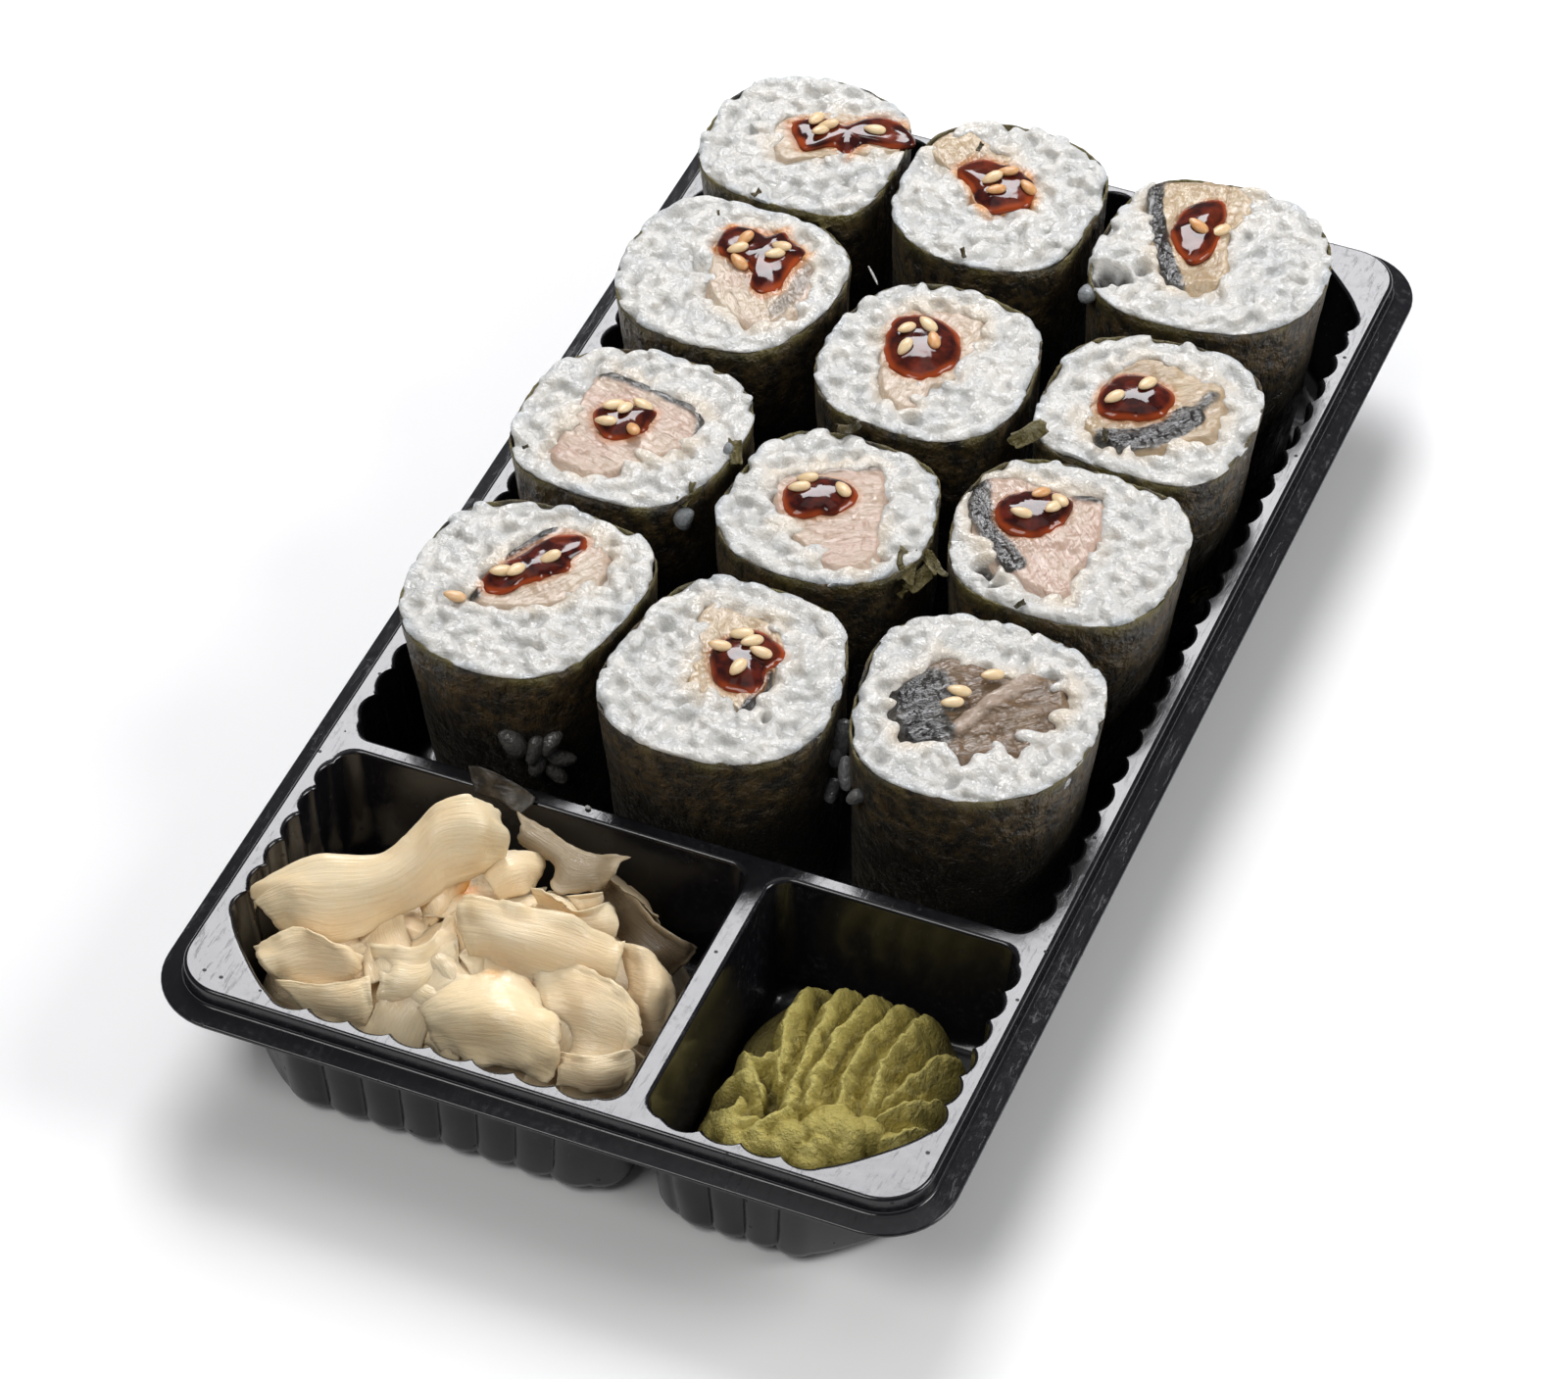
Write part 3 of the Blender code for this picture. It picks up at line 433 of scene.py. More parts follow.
# Places are picture points. Seeds: offset x, y from the sauce's middle, angle in degrees. Skins:
# half width, 1 for dark skin or 0 for pale fat, and a line. Tone: 0 pink, 1 tan, 2 brown. Pits:
# picture x, y, size and depth of a hollow in the rice.
ROLLS = [
    Roll("roll_1_left", -33.9, 76.8, 17.7, 0.0,
         flesh=((787, 129), (808, 116), (830, 113), (890, 117), (934, 125), (932, 148), (900, 153),
                (874, 155), (821, 157), (795, 160)),
         pool=((808, 123), (839, 119), (861, 127), (889, 119), (917, 123), (934, 145), (908, 149),
               (884, 145), (867, 155), (858, 154), (850, 147), (821, 151), (813, 140)),
         pool_height=0.8, middle=(5.5, 5), tone=0.6, stain=1.0, grain=5,
         seeds=((-6.3, 0.5, 80), (-4, -0.5, 30), (-4.6, -2, 60), (3, 1.2, 10)),
         pits=((802, 158, 2.2, 0.9), (862, 180, 1.3, 1.4))),
    Roll("roll_1_mid", -2.9, 76.8, 18.2, 0.3,
         flesh=((938, 132), (960, 124), (985, 128), (1010, 146), (1035, 160), (1052, 178), (1052, 205),
                (1020, 216), (995, 208), (985, 180), (962, 165), (945, 150)),
         pool=((976, 172), (1000, 161), (1020, 165), (1040, 172), (1054, 186), (1052, 204), (1035, 213),
               (1010, 215), (996, 205), (992, 190)),
         pool_height=0.9, middle=(0.5, 1.5), tone=0.8, stain=0.9, grain=-42,
         seeds=((-0.7, 2.7, 20), (-2.3, 0.3, 50), (-0.8, -2, 40), (3.3, 0.8, -30)),
         pits=((950, 215, 1.6, 1.0),)),
    Roll("roll_1_right", 30.5, 75.7, 19.2, 0.0,
         flesh=((1172, 182), (1196, 174), (1230, 174), (1262, 183), (1283, 205), (1268, 225),
                (1252, 240), (1255, 270), (1248, 288), (1215, 295), (1192, 290), (1178, 262),
                (1170, 225)),
         pool=((1207, 215), (1222, 206), (1240, 201), (1251, 206), (1251, 222), (1242, 235),
               (1244, 243), (1235, 258), (1220, 266), (1207, 262), (1199, 250), (1196, 236)),
         pool_height=0.9, middle=(-2, 4.8), tone=1.0, stain=0.2, grain=-82,
         seeds=((-0.9, -0.4, -20), (2.2, 0.8, 60)),
         skins=((1.5, 1.0, ((1181, 182), (1178, 205), (1181, 225), (1187, 250), (1195, 275),
                            (1201, 292))),), relief=0.7,
         pits=((1130, 275, 2.2, 3.2), (1118, 283, 2.0, 3.6), (1145, 279, 2.0, 3.0),
               (1108, 268, 1.6, 2.4), (1166, 270, 1.6, 2.0))),
    Roll("roll_2_left", -33.3, 45.4, 18.7, 0.2,
         flesh=((728, 255), (745, 235), (775, 228), (810, 240), (826, 262), (830, 290), (815, 315),
                (790, 328), (765, 330), (738, 312), (722, 285)),
         pool=((733, 246), (744, 230), (765, 231), (782, 239), (801, 235), (806, 244), (822, 256),
               (815, 266), (803, 280), (793, 296), (775, 298), (765, 288), (768, 277), (756, 268),
               (745, 262), (734, 256)),
         pool_height=0.85, middle=(2.8, 4.6), tone=0.4, stain=1.0, grain=-50,
         seeds=((-2.3, -2.7, -30), (-3.4, -0.6, 40), (-3.2, 1.8, 70), (2.4, 2.2, -10), (2.2, 0.2, 50)),
         skins=((1.5, 0.35, ((825, 272), (813, 293), (792, 316))),),
         pits=((712, 268, 2.0, 1.0), (722, 292, 1.8, 1.4), (688, 216, 1.8, 0.9), (843, 268, 1.2, 0.9))),
    Roll("roll_2_mid", 1.3, 38.2, 18.4, 0.0,
         flesh=((903, 330), (925, 312), (960, 312), (1003, 320), (1003, 345), (985, 365),
                (972, 385), (950, 392), (945, 405), (930, 415), (910, 410), (899, 392), (898, 360)),
         pool=((904, 338), (913, 324), (936, 320), (955, 324), (973, 335), (980, 349), (976, 368),
               (962, 379), (948, 384), (936, 386), (920, 382), (908, 373), (904, 358)),
         pool_height=1.25, middle=(-2.2, 2.8), tone=0.45, stain=0.35, grain=80,
         seeds=((-3.2, 1, 60), (-0.6, 3, -30), (1.5, -0.1, -60), (-1.9, -3, 80)),
         pits=((930, 425, 1.4, 1.6), (868, 372, 1.8, 1.3), (857, 362, 1.2, 1.0))),
    Roll("roll_2_right", 33.5, 40.6, 18.2, -0.3,
         flesh=((1101, 427), (1112, 408), (1137, 379), (1160, 364), (1190, 365), (1212, 378),
                (1235, 386), (1251, 392), (1251, 413), (1241, 441), (1209, 449), (1165, 460),
                (1126, 450)),
         pool=((1121, 402), (1137, 385), (1159, 381), (1176, 386), (1194, 396), (1198, 408),
               (1191, 419), (1184, 425), (1166, 427), (1144, 426), (1130, 424), (1119, 416)),
         pool_height=1.2, middle=(-2, 1.4), tone=1.2, stain=0.5, grain=40,
         seeds=((0.9, 2.2, 70), (-2.5, -2.2, 55)),
         skins=((2.6, 1.0, ((1132, 446), (1164, 446), (1190, 437), (1214, 424))),
                (1.2, 0.5, ((1214, 424), (1238, 402)))),
         pits=((1180, 452, 1.6, 1.2), (1236, 440, 1.4, 1.2))),
    Roll("roll_3_left", -33.4, 8.7, 18.5, 0.3,
         flesh=((604, 385), (622, 374), (670, 394), (716, 415), (717, 440), (685, 460), (647, 471),
                (607, 484), (562, 465), (572, 440), (588, 412)),
         pool=((604, 422), (618, 411), (636, 408), (650, 413), (670, 419), (663, 431), (656, 440),
               (640, 446), (621, 448), (612, 440)),
         pool_height=1.0, middle=(-0.5, 0.6), tone=0.1, stain=0.7, grain=-18,
         seeds=((-3, 1, 40), (-1.2, 0.8, 80), (0.5, 3.3, -10), (-2.8, -2.4, 10), (1.4, -2.3, -50)),
         skins=((1.0, 0.65, ((616, 379), (650, 390), (680, 403), (712, 420), (714, 442))),),
         pits=((700, 462, 1.4, 1.1), (560, 452, 1.2, 1.0), (735, 375, 1.6, 0.9))),
    Roll("roll_3_mid", -0.6, 4.1, 17.6, 0.0,
         flesh=((791, 486), (805, 480), (850, 474), (900, 474), (903, 508), (898, 545), (894, 566),
                (874, 579), (842, 574), (815, 548), (797, 530), (790, 508)),
         pool=((798, 508), (803, 495), (820, 486), (836, 485), (861, 490), (876, 503), (869, 515),
               (853, 523), (828, 526), (806, 523)),
         pool_height=1.25, middle=(-2.2, 0.9), tone=0.15, stain=0.35, grain=24,
         seeds=((-2.6, 1.8, 20), (-2.9, -0.5, 30), (3, 1.4, -40)),
         skins=((0.9, 0.45, ((793, 483), (836, 478), (870, 475), (899, 476))),),
         pits=((901, 566, 1.2, 1.6), (902, 506, 1.2, 1.4), (792, 506, 1.0, 1.6))),
    Roll("roll_3_right", 32.6, 10.6, 19.0, 0.0,
         flesh=((1052, 486), (1090, 500), (1127, 504), (1127, 535), (1114, 564), (1096, 582),
                (1094, 604), (1078, 609), (1056, 600), (1040, 590), (1018, 572), (1000, 550),
                (988, 525), (986, 500), (1000, 484), (1025, 482)),
         pool=((1015, 522), (1025, 507), (1043, 500), (1063, 501), (1083, 503), (1094, 510),
               (1092, 522), (1083, 533), (1069, 543), (1050, 547), (1032, 544), (1020, 535)),
         pool_height=1.3, middle=(-5.8, 3), tone=0.0, stain=0.25, grain=-48,
         seeds=((-0.4, 2.8, 60), (2.6, 2.4, -40), (-1.4, -2.3, 10), (2.3, 0.6, 70)),
         skins=((2.1, 0.9, ((998, 492), (1000, 514), (1006, 533), (1020, 553), (1034, 572))),
                (0.9, 0.6, ((1098, 505), (1124, 508)))),
         pits=((1005, 575, 2.0, 3.0), (1015, 590, 1.6, 2.4), (1116, 556, 1.0, 1.0))),
    Roll("roll_4_left", -34.0, -26.8, 19.2, 0.0,
         flesh=((481, 608), (492, 586), (530, 555), (566, 534), (605, 543), (622, 565), (612, 590),
                (565, 612), (520, 616), (495, 616)),
         pool=((497, 584), (523, 569), (553, 551), (574, 544), (596, 546), (600, 557), (584, 570),
               (580, 580), (556, 589), (535, 594), (518, 602), (500, 604), (490, 596)),
         pool_height=0.85, middle=(-0.4, 5), tone=0.3, stain=0.5, grain=60,
         seeds=((-3.4, -5.2, 40), (-1.6, -4.4, 70), (1.8, -0.2, 50)),
         skins=((1.2, 0.8, ((484, 606), (495, 588), (524, 564), (562, 538))),),
         pits=((533, 522, 1.0, 1.0), (568, 650, 1.4, 0.7), (628, 627, 1.0, 0.9))),
    Roll("roll_4_mid", -1.4, -32.0, 19.4, 0.2,
         flesh=((715, 622), (729, 610), (759, 623), (792, 636), (802, 665), (790, 682), (783, 700),
                (757, 728), (744, 715), (708, 702), (704, 680), (715, 660), (711, 640)),
         pool=((723, 667), (730, 656), (746, 646), (759, 641), (776, 644), (794, 655), (801, 671),
               (783, 682), (779, 697), (770, 707), (755, 706), (738, 701), (726, 688)),
         pool_height=1.1, middle=(0.6, 2.2), tone=0.9, stain=0.35, grain=-60,
         seeds=((-2.9, 0.4, 10), (-1, 3.6, 20), (1, 2.6, 50), (3, 1, 0), (1.2, -2.9, 80)),
         skins=((1.0, 0.9, ((784, 684), (778, 702), (758, 724))),),
         pits=((680, 635, 1.4, 1.4), (781, 729, 0.8, 1.6), (690, 745, 1.6, 0.6))),
    Roll("roll_4_right", 32.2, -25.4, 19.4, 0.0,
         flesh=((907, 722), (916, 700), (936, 684), (962, 664), (985, 672), (1017, 684), (1056, 684),
                (1087, 692), (1092, 716), (1080, 735), (1058, 746), (1050, 768), (1013, 766),
                (985, 775), (955, 757), (930, 757), (913, 740)),
         seeds=((-2.2, 0.5, 20), (-2.3, -2, 30), (0.9, 5.1, 40)),
         skins=((4.2, 1.0, ((925, 700), (932, 722), (945, 745))),
                (2.6, 0.75, ((950, 690), (965, 712))),
                (1.5, 0.0, ((975, 742), (1010, 716), (1050, 690)))),
         tone=2.0, stain=0.0, grain=40, relief=0.7,
         pits=((898, 770, 1.4, 1.4), (1085, 765, 1.5, 1.0), (970, 795, 1.2, 1.1))),
]

# Guide points of the ginger slices: picture x, picture y and height, in rows across each slice.
# The number before them is the slice's tone, from 0, pale, to 1, dark and clear.
GINGER_SLICES = (
    (1.0, (((613, 890, 18), (617, 920, 15), (620, 950, 12)),
           ((650, 916, 18), (643, 940, 15), (633, 963, 13)),
           ((687, 950, 16), (677, 967, 14), (650, 983, 12)),
           ((713, 966, 13), (697, 980, 12), (683, 993, 10)))),
    (0.85, (((540, 842, 22), (560, 872, 19), (570, 900, 16)),
            ((590, 868, 21), (605, 890, 18), (610, 915, 15)),
            ((640, 900, 19), (650, 925, 16), (640, 950, 13)),
            ((672, 930, 17), (672, 950, 14), (655, 975, 12)))),
    (0.25, (((540, 985, 19), (553, 1023, 17), (567, 1080, 12)),
            ((587, 985, 21), (596, 1030, 19), (600, 1090, 13)),
            ((625, 1000, 21), (634, 1043, 18), (627, 1090, 13)),
            ((650, 1030, 18), (645, 1060, 16), (628, 1095, 13)))),
    (0.2, (((468, 910, 25), (470, 950, 22), (487, 992, 17)),
           ((520, 920, 26), (520, 957, 24), (520, 996, 18)),
           ((580, 938, 24), (572, 973, 22), (568, 1000, 18)),
           ((636, 966, 20), (626, 987, 19), (614, 1002, 16)))),
    (0.25, (((488, 886, 21), (500, 903, 21), (507, 916, 19)),
            ((520, 866, 23), (527, 887, 22), (530, 912, 19)),
            ((552, 871, 21), (555, 887, 20), (545, 905, 18)))),
    (0.75, (((527, 826, 24), (527, 845, 23), (533, 860, 21)),
            ((567, 851, 23), (567, 870, 22), (570, 884, 20)),
            ((597, 870, 22), (590, 889, 21), (567, 910, 19)),
            ((648, 876, 23), (633, 886, 22), (606, 899, 20)))),
    (0.5, (((578, 914, 21), (587, 923, 20), (597, 936, 18)),
           ((614, 910, 21), (615, 919, 20), (607, 932, 18)))),
    (0.3, (((545, 905, 22), (550, 917, 20), (557, 930, 18)),
           ((573, 915, 23), (577, 930, 20), (583, 944, 18)),
           ((590, 928, 22), (593, 943, 20), (600, 953, 18)),
           ((620, 921, 19), (625, 943, 18), (628, 966, 16)))),
    (0.4, (((640, 968, 19), (640, 1003, 17), (640, 1050, 13)),
           ((662, 972, 20), (664, 1010, 18), (655, 1064, 12)),
           ((684, 996, 17), (684, 1020, 15), (672, 1056, 11)))),
    (0.3, (((566, 1072, 15), (573, 1090, 14), (567, 1106, 12)),
           ((607, 1079, 16), (613, 1097, 15), (613, 1112, 12)),
           ((642, 1074, 15), (645, 1090, 14), (635, 1110, 12)))),
    (0.05, (((280, 996, 17), (303, 1017, 15), (330, 1037, 12)),
            ((337, 1003, 18), (347, 1023, 16), (360, 1042, 12)),
            ((377, 996, 18), (380, 1020, 16), (380, 1048, 12)))),
    (0.12, (((380, 964, 20), (387, 1003, 18), (383, 1046, 12)),
            ((433, 964, 21), (427, 1003, 19), (420, 1036, 14)),
            ((460, 933, 22), (467, 977, 20), (433, 1022, 16)),
            ((483, 983, 19), (460, 1007, 18), (440, 1022, 16)))),
    (0.0, (((418, 1016, 17), (430, 1043, 16), (447, 1074, 13)),
           ((468, 993, 20), (478, 1037, 20), (487, 1082, 14)),
           ((510, 989, 21), (522, 1037, 21), (530, 1096, 14)),
           ((554, 1010, 19), (571, 1055, 18), (560, 1106, 13)))),
    (0.1, (((254, 964, 18), (273, 990, 17), (290, 1013, 14)),
           ((303, 944, 21), (317, 980, 19), (317, 1016, 15)),
           ((342, 961, 22), (355, 983, 20), (339, 1010, 16)),
           ((372, 975, 19), (368, 990, 18), (355, 1000, 16)))),
    (0.15, (((416, 870, 22), (450, 874, 24), (486, 882, 22)),
            ((414, 905, 21), (440, 908, 22), (470, 903, 20)),
            ((430, 937, 19), (447, 933, 20), (462, 923, 18)),
            ((418, 970, 16), (433, 958, 17), (449, 948, 16)))),
    (0.08, (((246, 938, 17), (263, 921, 21), (285, 950, 17)),
            ((263, 900, 23), (297, 908, 23), (320, 958, 18)),
            ((320, 874, 25), (333, 910, 23), (353, 962, 18)),
            ((387, 870, 26), (388, 902, 24), (398, 940, 19)),
            ((424, 843, 28.5), (425, 880, 26), (428, 925, 21)),
            ((452, 818, 31.5), (450, 852, 29), (458, 905, 22)),
            ((486, 812, 32), (487, 848, 29.5), (490, 893, 22)),
            ((513, 830, 28), (518, 857, 26), (510, 885, 21)))),
)
GINGER_THICKNESS = 0.8
GINGER_CORE = (-21.5, -77.0, 28.8, 18.8)
GINGER_CORE_TOP = 18.0
GINGER_CORE_SQUARE = 3.0
# Orange spots on the ginger: picture x, picture y, height and size
GINGER_SPOTS = ((505, 1000, 19.5, 1.5), (410, 1020, 15, 1.8), (535, 1006, 19, 1.0), (477, 905, 20, 1.6))

# Crests of the paste: picture x, picture y and height along each
PASTE_CRESTS = (
    ((794, 1098, 11), (798, 1058, 12), (812, 1018, 11.5), (826, 1000, 10), (842, 1001, 9)),
    ((803, 1122, 11.5), (818, 1080, 12.3), (835, 1046, 12.3), (852, 1012, 11.5), (872, 1004, 10)),
    ((822, 1122, 11.5), (834, 1086, 12.3), (857, 1050, 12.5), (882, 1020, 11.6), (903, 1010, 10)),
    ((853, 1127, 11.5), (868, 1084, 12.3), (887, 1054, 12.5), (912, 1026, 11.6), (936, 1016, 10)),
    ((886, 1127, 11.5), (896, 1090, 12.3), (917, 1060, 12.5), (944, 1032, 11.8), (966, 1021, 10.5)),
    ((903, 1122, 11.5), (930, 1096, 12.2), (958, 1078, 12), (991, 1060, 11)),
    ((898, 1138, 11.5), (929, 1124, 11.8), (962, 1114, 11)),
    ((905, 1162, 11), (930, 1152, 10.5), (945, 1144, 10)),
    ((758, 1063, 12), (774, 1078, 11), (794, 1068, 11)),
    ((758, 1063, 12), (768, 1090, 10.8), (776, 1114, 10.5)),
    ((733, 1106, 9.5), (760, 1088, 10.8), (766, 1104, 10)),
    ((769, 1147, 11), (789, 1133, 11.6), (803, 1128, 11.5)),
    ((728, 1128, 9), (746, 1127, 10), (754, 1118, 10)),
    ((724, 1136, 8.6), (742, 1144, 9.4), (764, 1138, 10)),
)
PASTE_LUMPS = (
    (808, 1153, 4.2, 10.8), (849, 1141, 5.2, 12), (868, 1150, 3.6, 11.6), (826, 1173, 3.8, 10.2),
    (772, 1158, 3.4, 9.8), (714, 1144, 3.0, 8.6), (886, 1150, 3.6, 10.8), (909, 1163, 3.0, 9.8),
    (742, 1142, 3.2, 9.2), (862, 1168, 3.6, 10.2), (752, 1160, 3.0, 9), (840, 1160, 3.2, 11),
    (795, 1165, 2.8, 10), (830, 1145, 2.6, 11.4),
)
PASTE_MIDDLE = (32.2, -76.0)
PASTE_HALF = (16.2, 20.2)

# The shred of skin: picture x, picture y and height, in rows across it
SCRAP_GUIDES = (
    ((478, 781, 25), (481, 794, 23.5), (484, 808, 22.2)),
    ((500, 785, 26), (503, 799, 24), (506, 814, 22.0)),
    ((524, 798, 24.5), (524, 809, 23.2), (520, 824, 21.9)),
    ((546, 813, 22.8), (543, 820, 22.3), (532, 829, 21.8)),
)
# Loose grains on the sheets: picture x, picture y, size as a share of a whole grain, and how much painted
# shade darkens it, from 0 to 1
STRAY_GRAINS = (
    (524, 757, 1.3, 0.98), (546, 763, 1.2, 0.98), (562, 757, 1.0, 0.98), (571, 771, 1.2, 0.98),
    (549, 778, 1.3, 0.98), (566, 786, 1.1, 0.98), (856, 752, 1.1, 0.8), (852, 772, 1.1, 0.8),
    (866, 789, 1.1, 0.8), (846, 806, 1.0, 0.8), (876, 812, 0.9, 0.8), (697, 528, 1.1, 0.45),
    (742, 462, 0.8, 0.45), (1112, 300, 0.9, 0.45),
)
# A fine pale bone that sticks up between two rolls: picture x, picture y and height of its ends
BONE = ((896, 291, 35.5), (886, 271, 38.2))
# A crumb of rice on the tray's flat top: picture x, picture y
CRUMB = (600, 824)
# Seeds away from the sauce: picture x, picture y and turn in degrees
SEEDS_ON_RICE = ((464, 608, 10),)
# Flakes of seaweed: picture x, picture y, height (or 0 to lie on a roll's side), size, turn
FLAKES = (
    (1000, 150, 37.2, 1.5, 40), (983, 258, 36.8, 1.5, 80), (772, 197, 36.8, 1.6, 20),
    (733, 217, 36.8, 0.9, 70), (866, 436, 36.6, 3.4, -15), (1050, 443, 36.8, 5.5, 5),
    (751, 463, 36.0, 4.0, 70), (700, 505, 35.2, 3.6, 40), (1041, 617, 36.4, 1.6, 10),
    (925, 578, 34.5, 5.5, 60), (938, 592, 32.5, 5.0, 20), (915, 598, 31.5, 4.0, 110),
    (952, 575, 34.0, 4.5, 95), (1222, 606, 0, 3.2, -30), (1128, 445, 36.4, 2.0, 60),
    (845, 222, 34.5, 4.5, 10), (700, 400, 34.8, 1.0, 10), (536, 456, 36.8, 0.9, 0),
)


class TraySizes(bpy.types.PropertyGroup):
    """Colours of the tray."""

    colour: FloatVectorProperty(
        name="Sheet colour", description="Colour of the black plastic sheet",
        subtype="COLOR", size=3, min=0, max=1, default=(0.006, 0.006, 0.008))
    gloss: FloatProperty(
        name="Roughness", description="Roughness of the sheet where it isn't scratched",
        min=0.02, max=1, default=0.17)


class RollLooks(bpy.types.PropertyGroup):
    """Sizes and colours of the rolls."""

    grain_length: FloatProperty(
        name="Grain length", description="Length of a whole cooked rice grain",
        subtype="DISTANCE", unit="LENGTH", min=0.003, max=0.01, default=0.0060)
    grain_width: FloatProperty(
        name="Grain width", description="Width of a cooked rice grain",
        subtype="DISTANCE", unit="LENGTH", min=0.001, max=0.004, default=0.0028)
    grain_spacing: FloatProperty(
        name="Grain spacing", description="Least distance between the middles of grains",
        subtype="DISTANCE", unit="LENGTH", min=0.0015, max=0.005, default=0.0028)
    voxel: FloatProperty(
        name="Rice detail", description="Size of the steps at which the grains are melted together",
        subtype="DISTANCE", unit="LENGTH", min=0.0002, max=0.001, default=0.00036)
    rice: FloatVectorProperty(
        name="Rice", description="Colour of the rice", subtype="COLOR", size=3,
        min=0, max=1, default=(0.68, 0.66, 0.62))
    sheet: FloatVectorProperty(
        name="Seaweed", description="Darkest colour of the seaweed sheet", subtype="COLOR", size=3,
        min=0, max=1, default=(0.0055, 0.0048, 0.0035))
    sauce: FloatVectorProperty(
        name="Sauce", description="Colour of the sauce where it is deep", subtype="COLOR", size=3,
        min=0, max=1, default=(0.030, 0.005, 0.004))
    seed_length: FloatProperty(
        name="Sesame length", description="Length of a sesame seed", subtype="DISTANCE",
        unit="LENGTH", min=0.002, max=0.005, default=0.0034)


class SideLooks(bpy.types.PropertyGroup):
    """Colours of the ginger and the paste."""

    ginger: FloatVectorProperty(
        name="Ginger", description="Colour of a pale slice of ginger", subtype="COLOR", size=3,
        min=0, max=1, default=(0.98, 0.765, 0.475))
    paste: FloatVectorProperty(
        name="Paste", description="Colour of the green paste", subtype="COLOR", size=3,
        min=0, max=1, default=(0.47, 0.375, 0.075))
    fillers: IntProperty(
        name="Ginger fillers", description="Small slices that fill the heap", min=0, max=60, default=22)


class Graph:
    """Adds shader nodes to a tree, each given by its type, its inputs and its settings."""

    def __init__(self, tree):
        self.tree = tree

    def link(self, value, socket):
        if isinstance(value, bpy.types.NodeSocket):
            self.tree.links.new(value, socket)
        elif socket.type == "RGBA":
            socket.default_value = (*value, 1)
        else:
            socket.default_value = value

    def add(self, kind, inputs=None, **settings):
        node = self.tree.nodes.new("ShaderNode" + kind)
        for name, value in settings.items():
            setattr(node, name, value)
        for name, value in (inputs or {}).items():
            self.link(value, node.inputs[name])
        return node

    def maths(self, operation, first, second=0.0):
        return self.add("Math", {0: first, 1: second}, operation=operation).outputs[0]

    def blend(self, share, first, second):
        return self.add("Mix", {0: share, 6: first, 7: second}, data_type="RGBA").outputs[2]

    def span(self, value, low, high, to_low=0.0, to_high=1.0):
        return self.add("MapRange", {0: value, 1: low, 2: high, 3: to_low, 4: to_high}).outputs[0]

    def value_at_points(self, name):
        return self.add("Attribute", attribute_name=name).outputs["Fac"]

    def places_at_points(self, name):
        return self.add("Attribute", attribute_name=name).outputs["Vector"]

    def spots(self):
        return self.add("TexCoord").outputs["Object"]

    def group(self, name, **inputs):
        node = self.add("Group", node_tree=bpy.data.node_groups[name])
        for key, value in inputs.items():
            self.link(value, node.inputs[key])
        return node.outputs["Mask"]

    def bump(self, height, strength, distance, normal=None):
        inputs = {"Height": height, "Strength": strength, "Distance": distance}
        if normal:
            inputs["Normal"] = normal
        return self.add("Bump", inputs).outputs["Normal"]


def new_group(name, inputs):
    tree = bpy.data.node_groups.new(name, "ShaderNodeTree")
    for key, kind, default in inputs:
        socket = tree.interface.new_socket(name=key, in_out="INPUT", socket_type="NodeSocket" + kind)
        if default is not None:
            socket.default_value = default
    tree.interface.new_socket(name="Mask", in_out="OUTPUT", socket_type="NodeSocketFloat")
    start = tree.nodes.new("NodeGroupInput")
    end = tree.nodes.new("NodeGroupOutput")
    return Graph(tree), start.outputs, end.inputs["Mask"]


def make_groups():
    """The effects that more than one finish uses."""
    graph, given, mask = new_group(
        "mottle", (("Place", "Vector", None), ("Size", "Float", 0.002), ("Low", "Float", 0.4),
                   ("High", "Float", 0.6), ("Detail", "Float", 3.0)))
    scale = graph.maths("DIVIDE", 1.0, given["Size"])
    cloud = graph.add("TexNoise", {"Vector": given["Place"], "Scale": scale, "Detail": given["Detail"],
                                   "Roughness": 0.6})
    graph.link(graph.span(cloud.outputs[0], given["Low"], given["High"]), mask)

    graph, given, mask = new_group(
        "fibres", (("Place", "Vector", None), ("Size", "Float", 0.0005), ("Stretch", "Vector", (1, 1, 1))))
    scale = graph.maths("DIVIDE", 1.0, given["Size"])
    drawn = graph.add("VectorMath", {0: given["Place"], 1: given["Stretch"]}, operation="MULTIPLY")
    cloud = graph.add("TexNoise", {"Vector": drawn.outputs[0], "Scale": scale, "Detail": 4.0,
                                   "Roughness": 0.65, "Distortion": 0.4})
    graph.link(cloud.outputs[0], mask)

    graph, given, mask = new_group(
        "specks", (("Place", "Vector", None), ("Spacing", "Float", 0.004), ("Radius", "Float", 0.15)))
    scale = graph.maths("DIVIDE", 1.0, given["Spacing"])
    cells = graph.add("TexVoronoi", {"Vector": given["Place"], "Scale": scale, "Randomness": 1.0})
    graph.link(graph.maths("LESS_THAN", cells.outputs["Distance"], given["Radius"]), mask)


def new_finish(name):
    """A material with a plain Principled shader, and the graph to build on it."""
    mat = bpy.data.materials.new(name)
    mat.use_nodes = True
    return mat, Graph(mat.node_tree), mat.node_tree.nodes["Principled BSDF"]


def feed(graph, shader, **sockets):
    for key, value in sockets.items():
        graph.link(value, shader.inputs[key.replace("_", " ")])


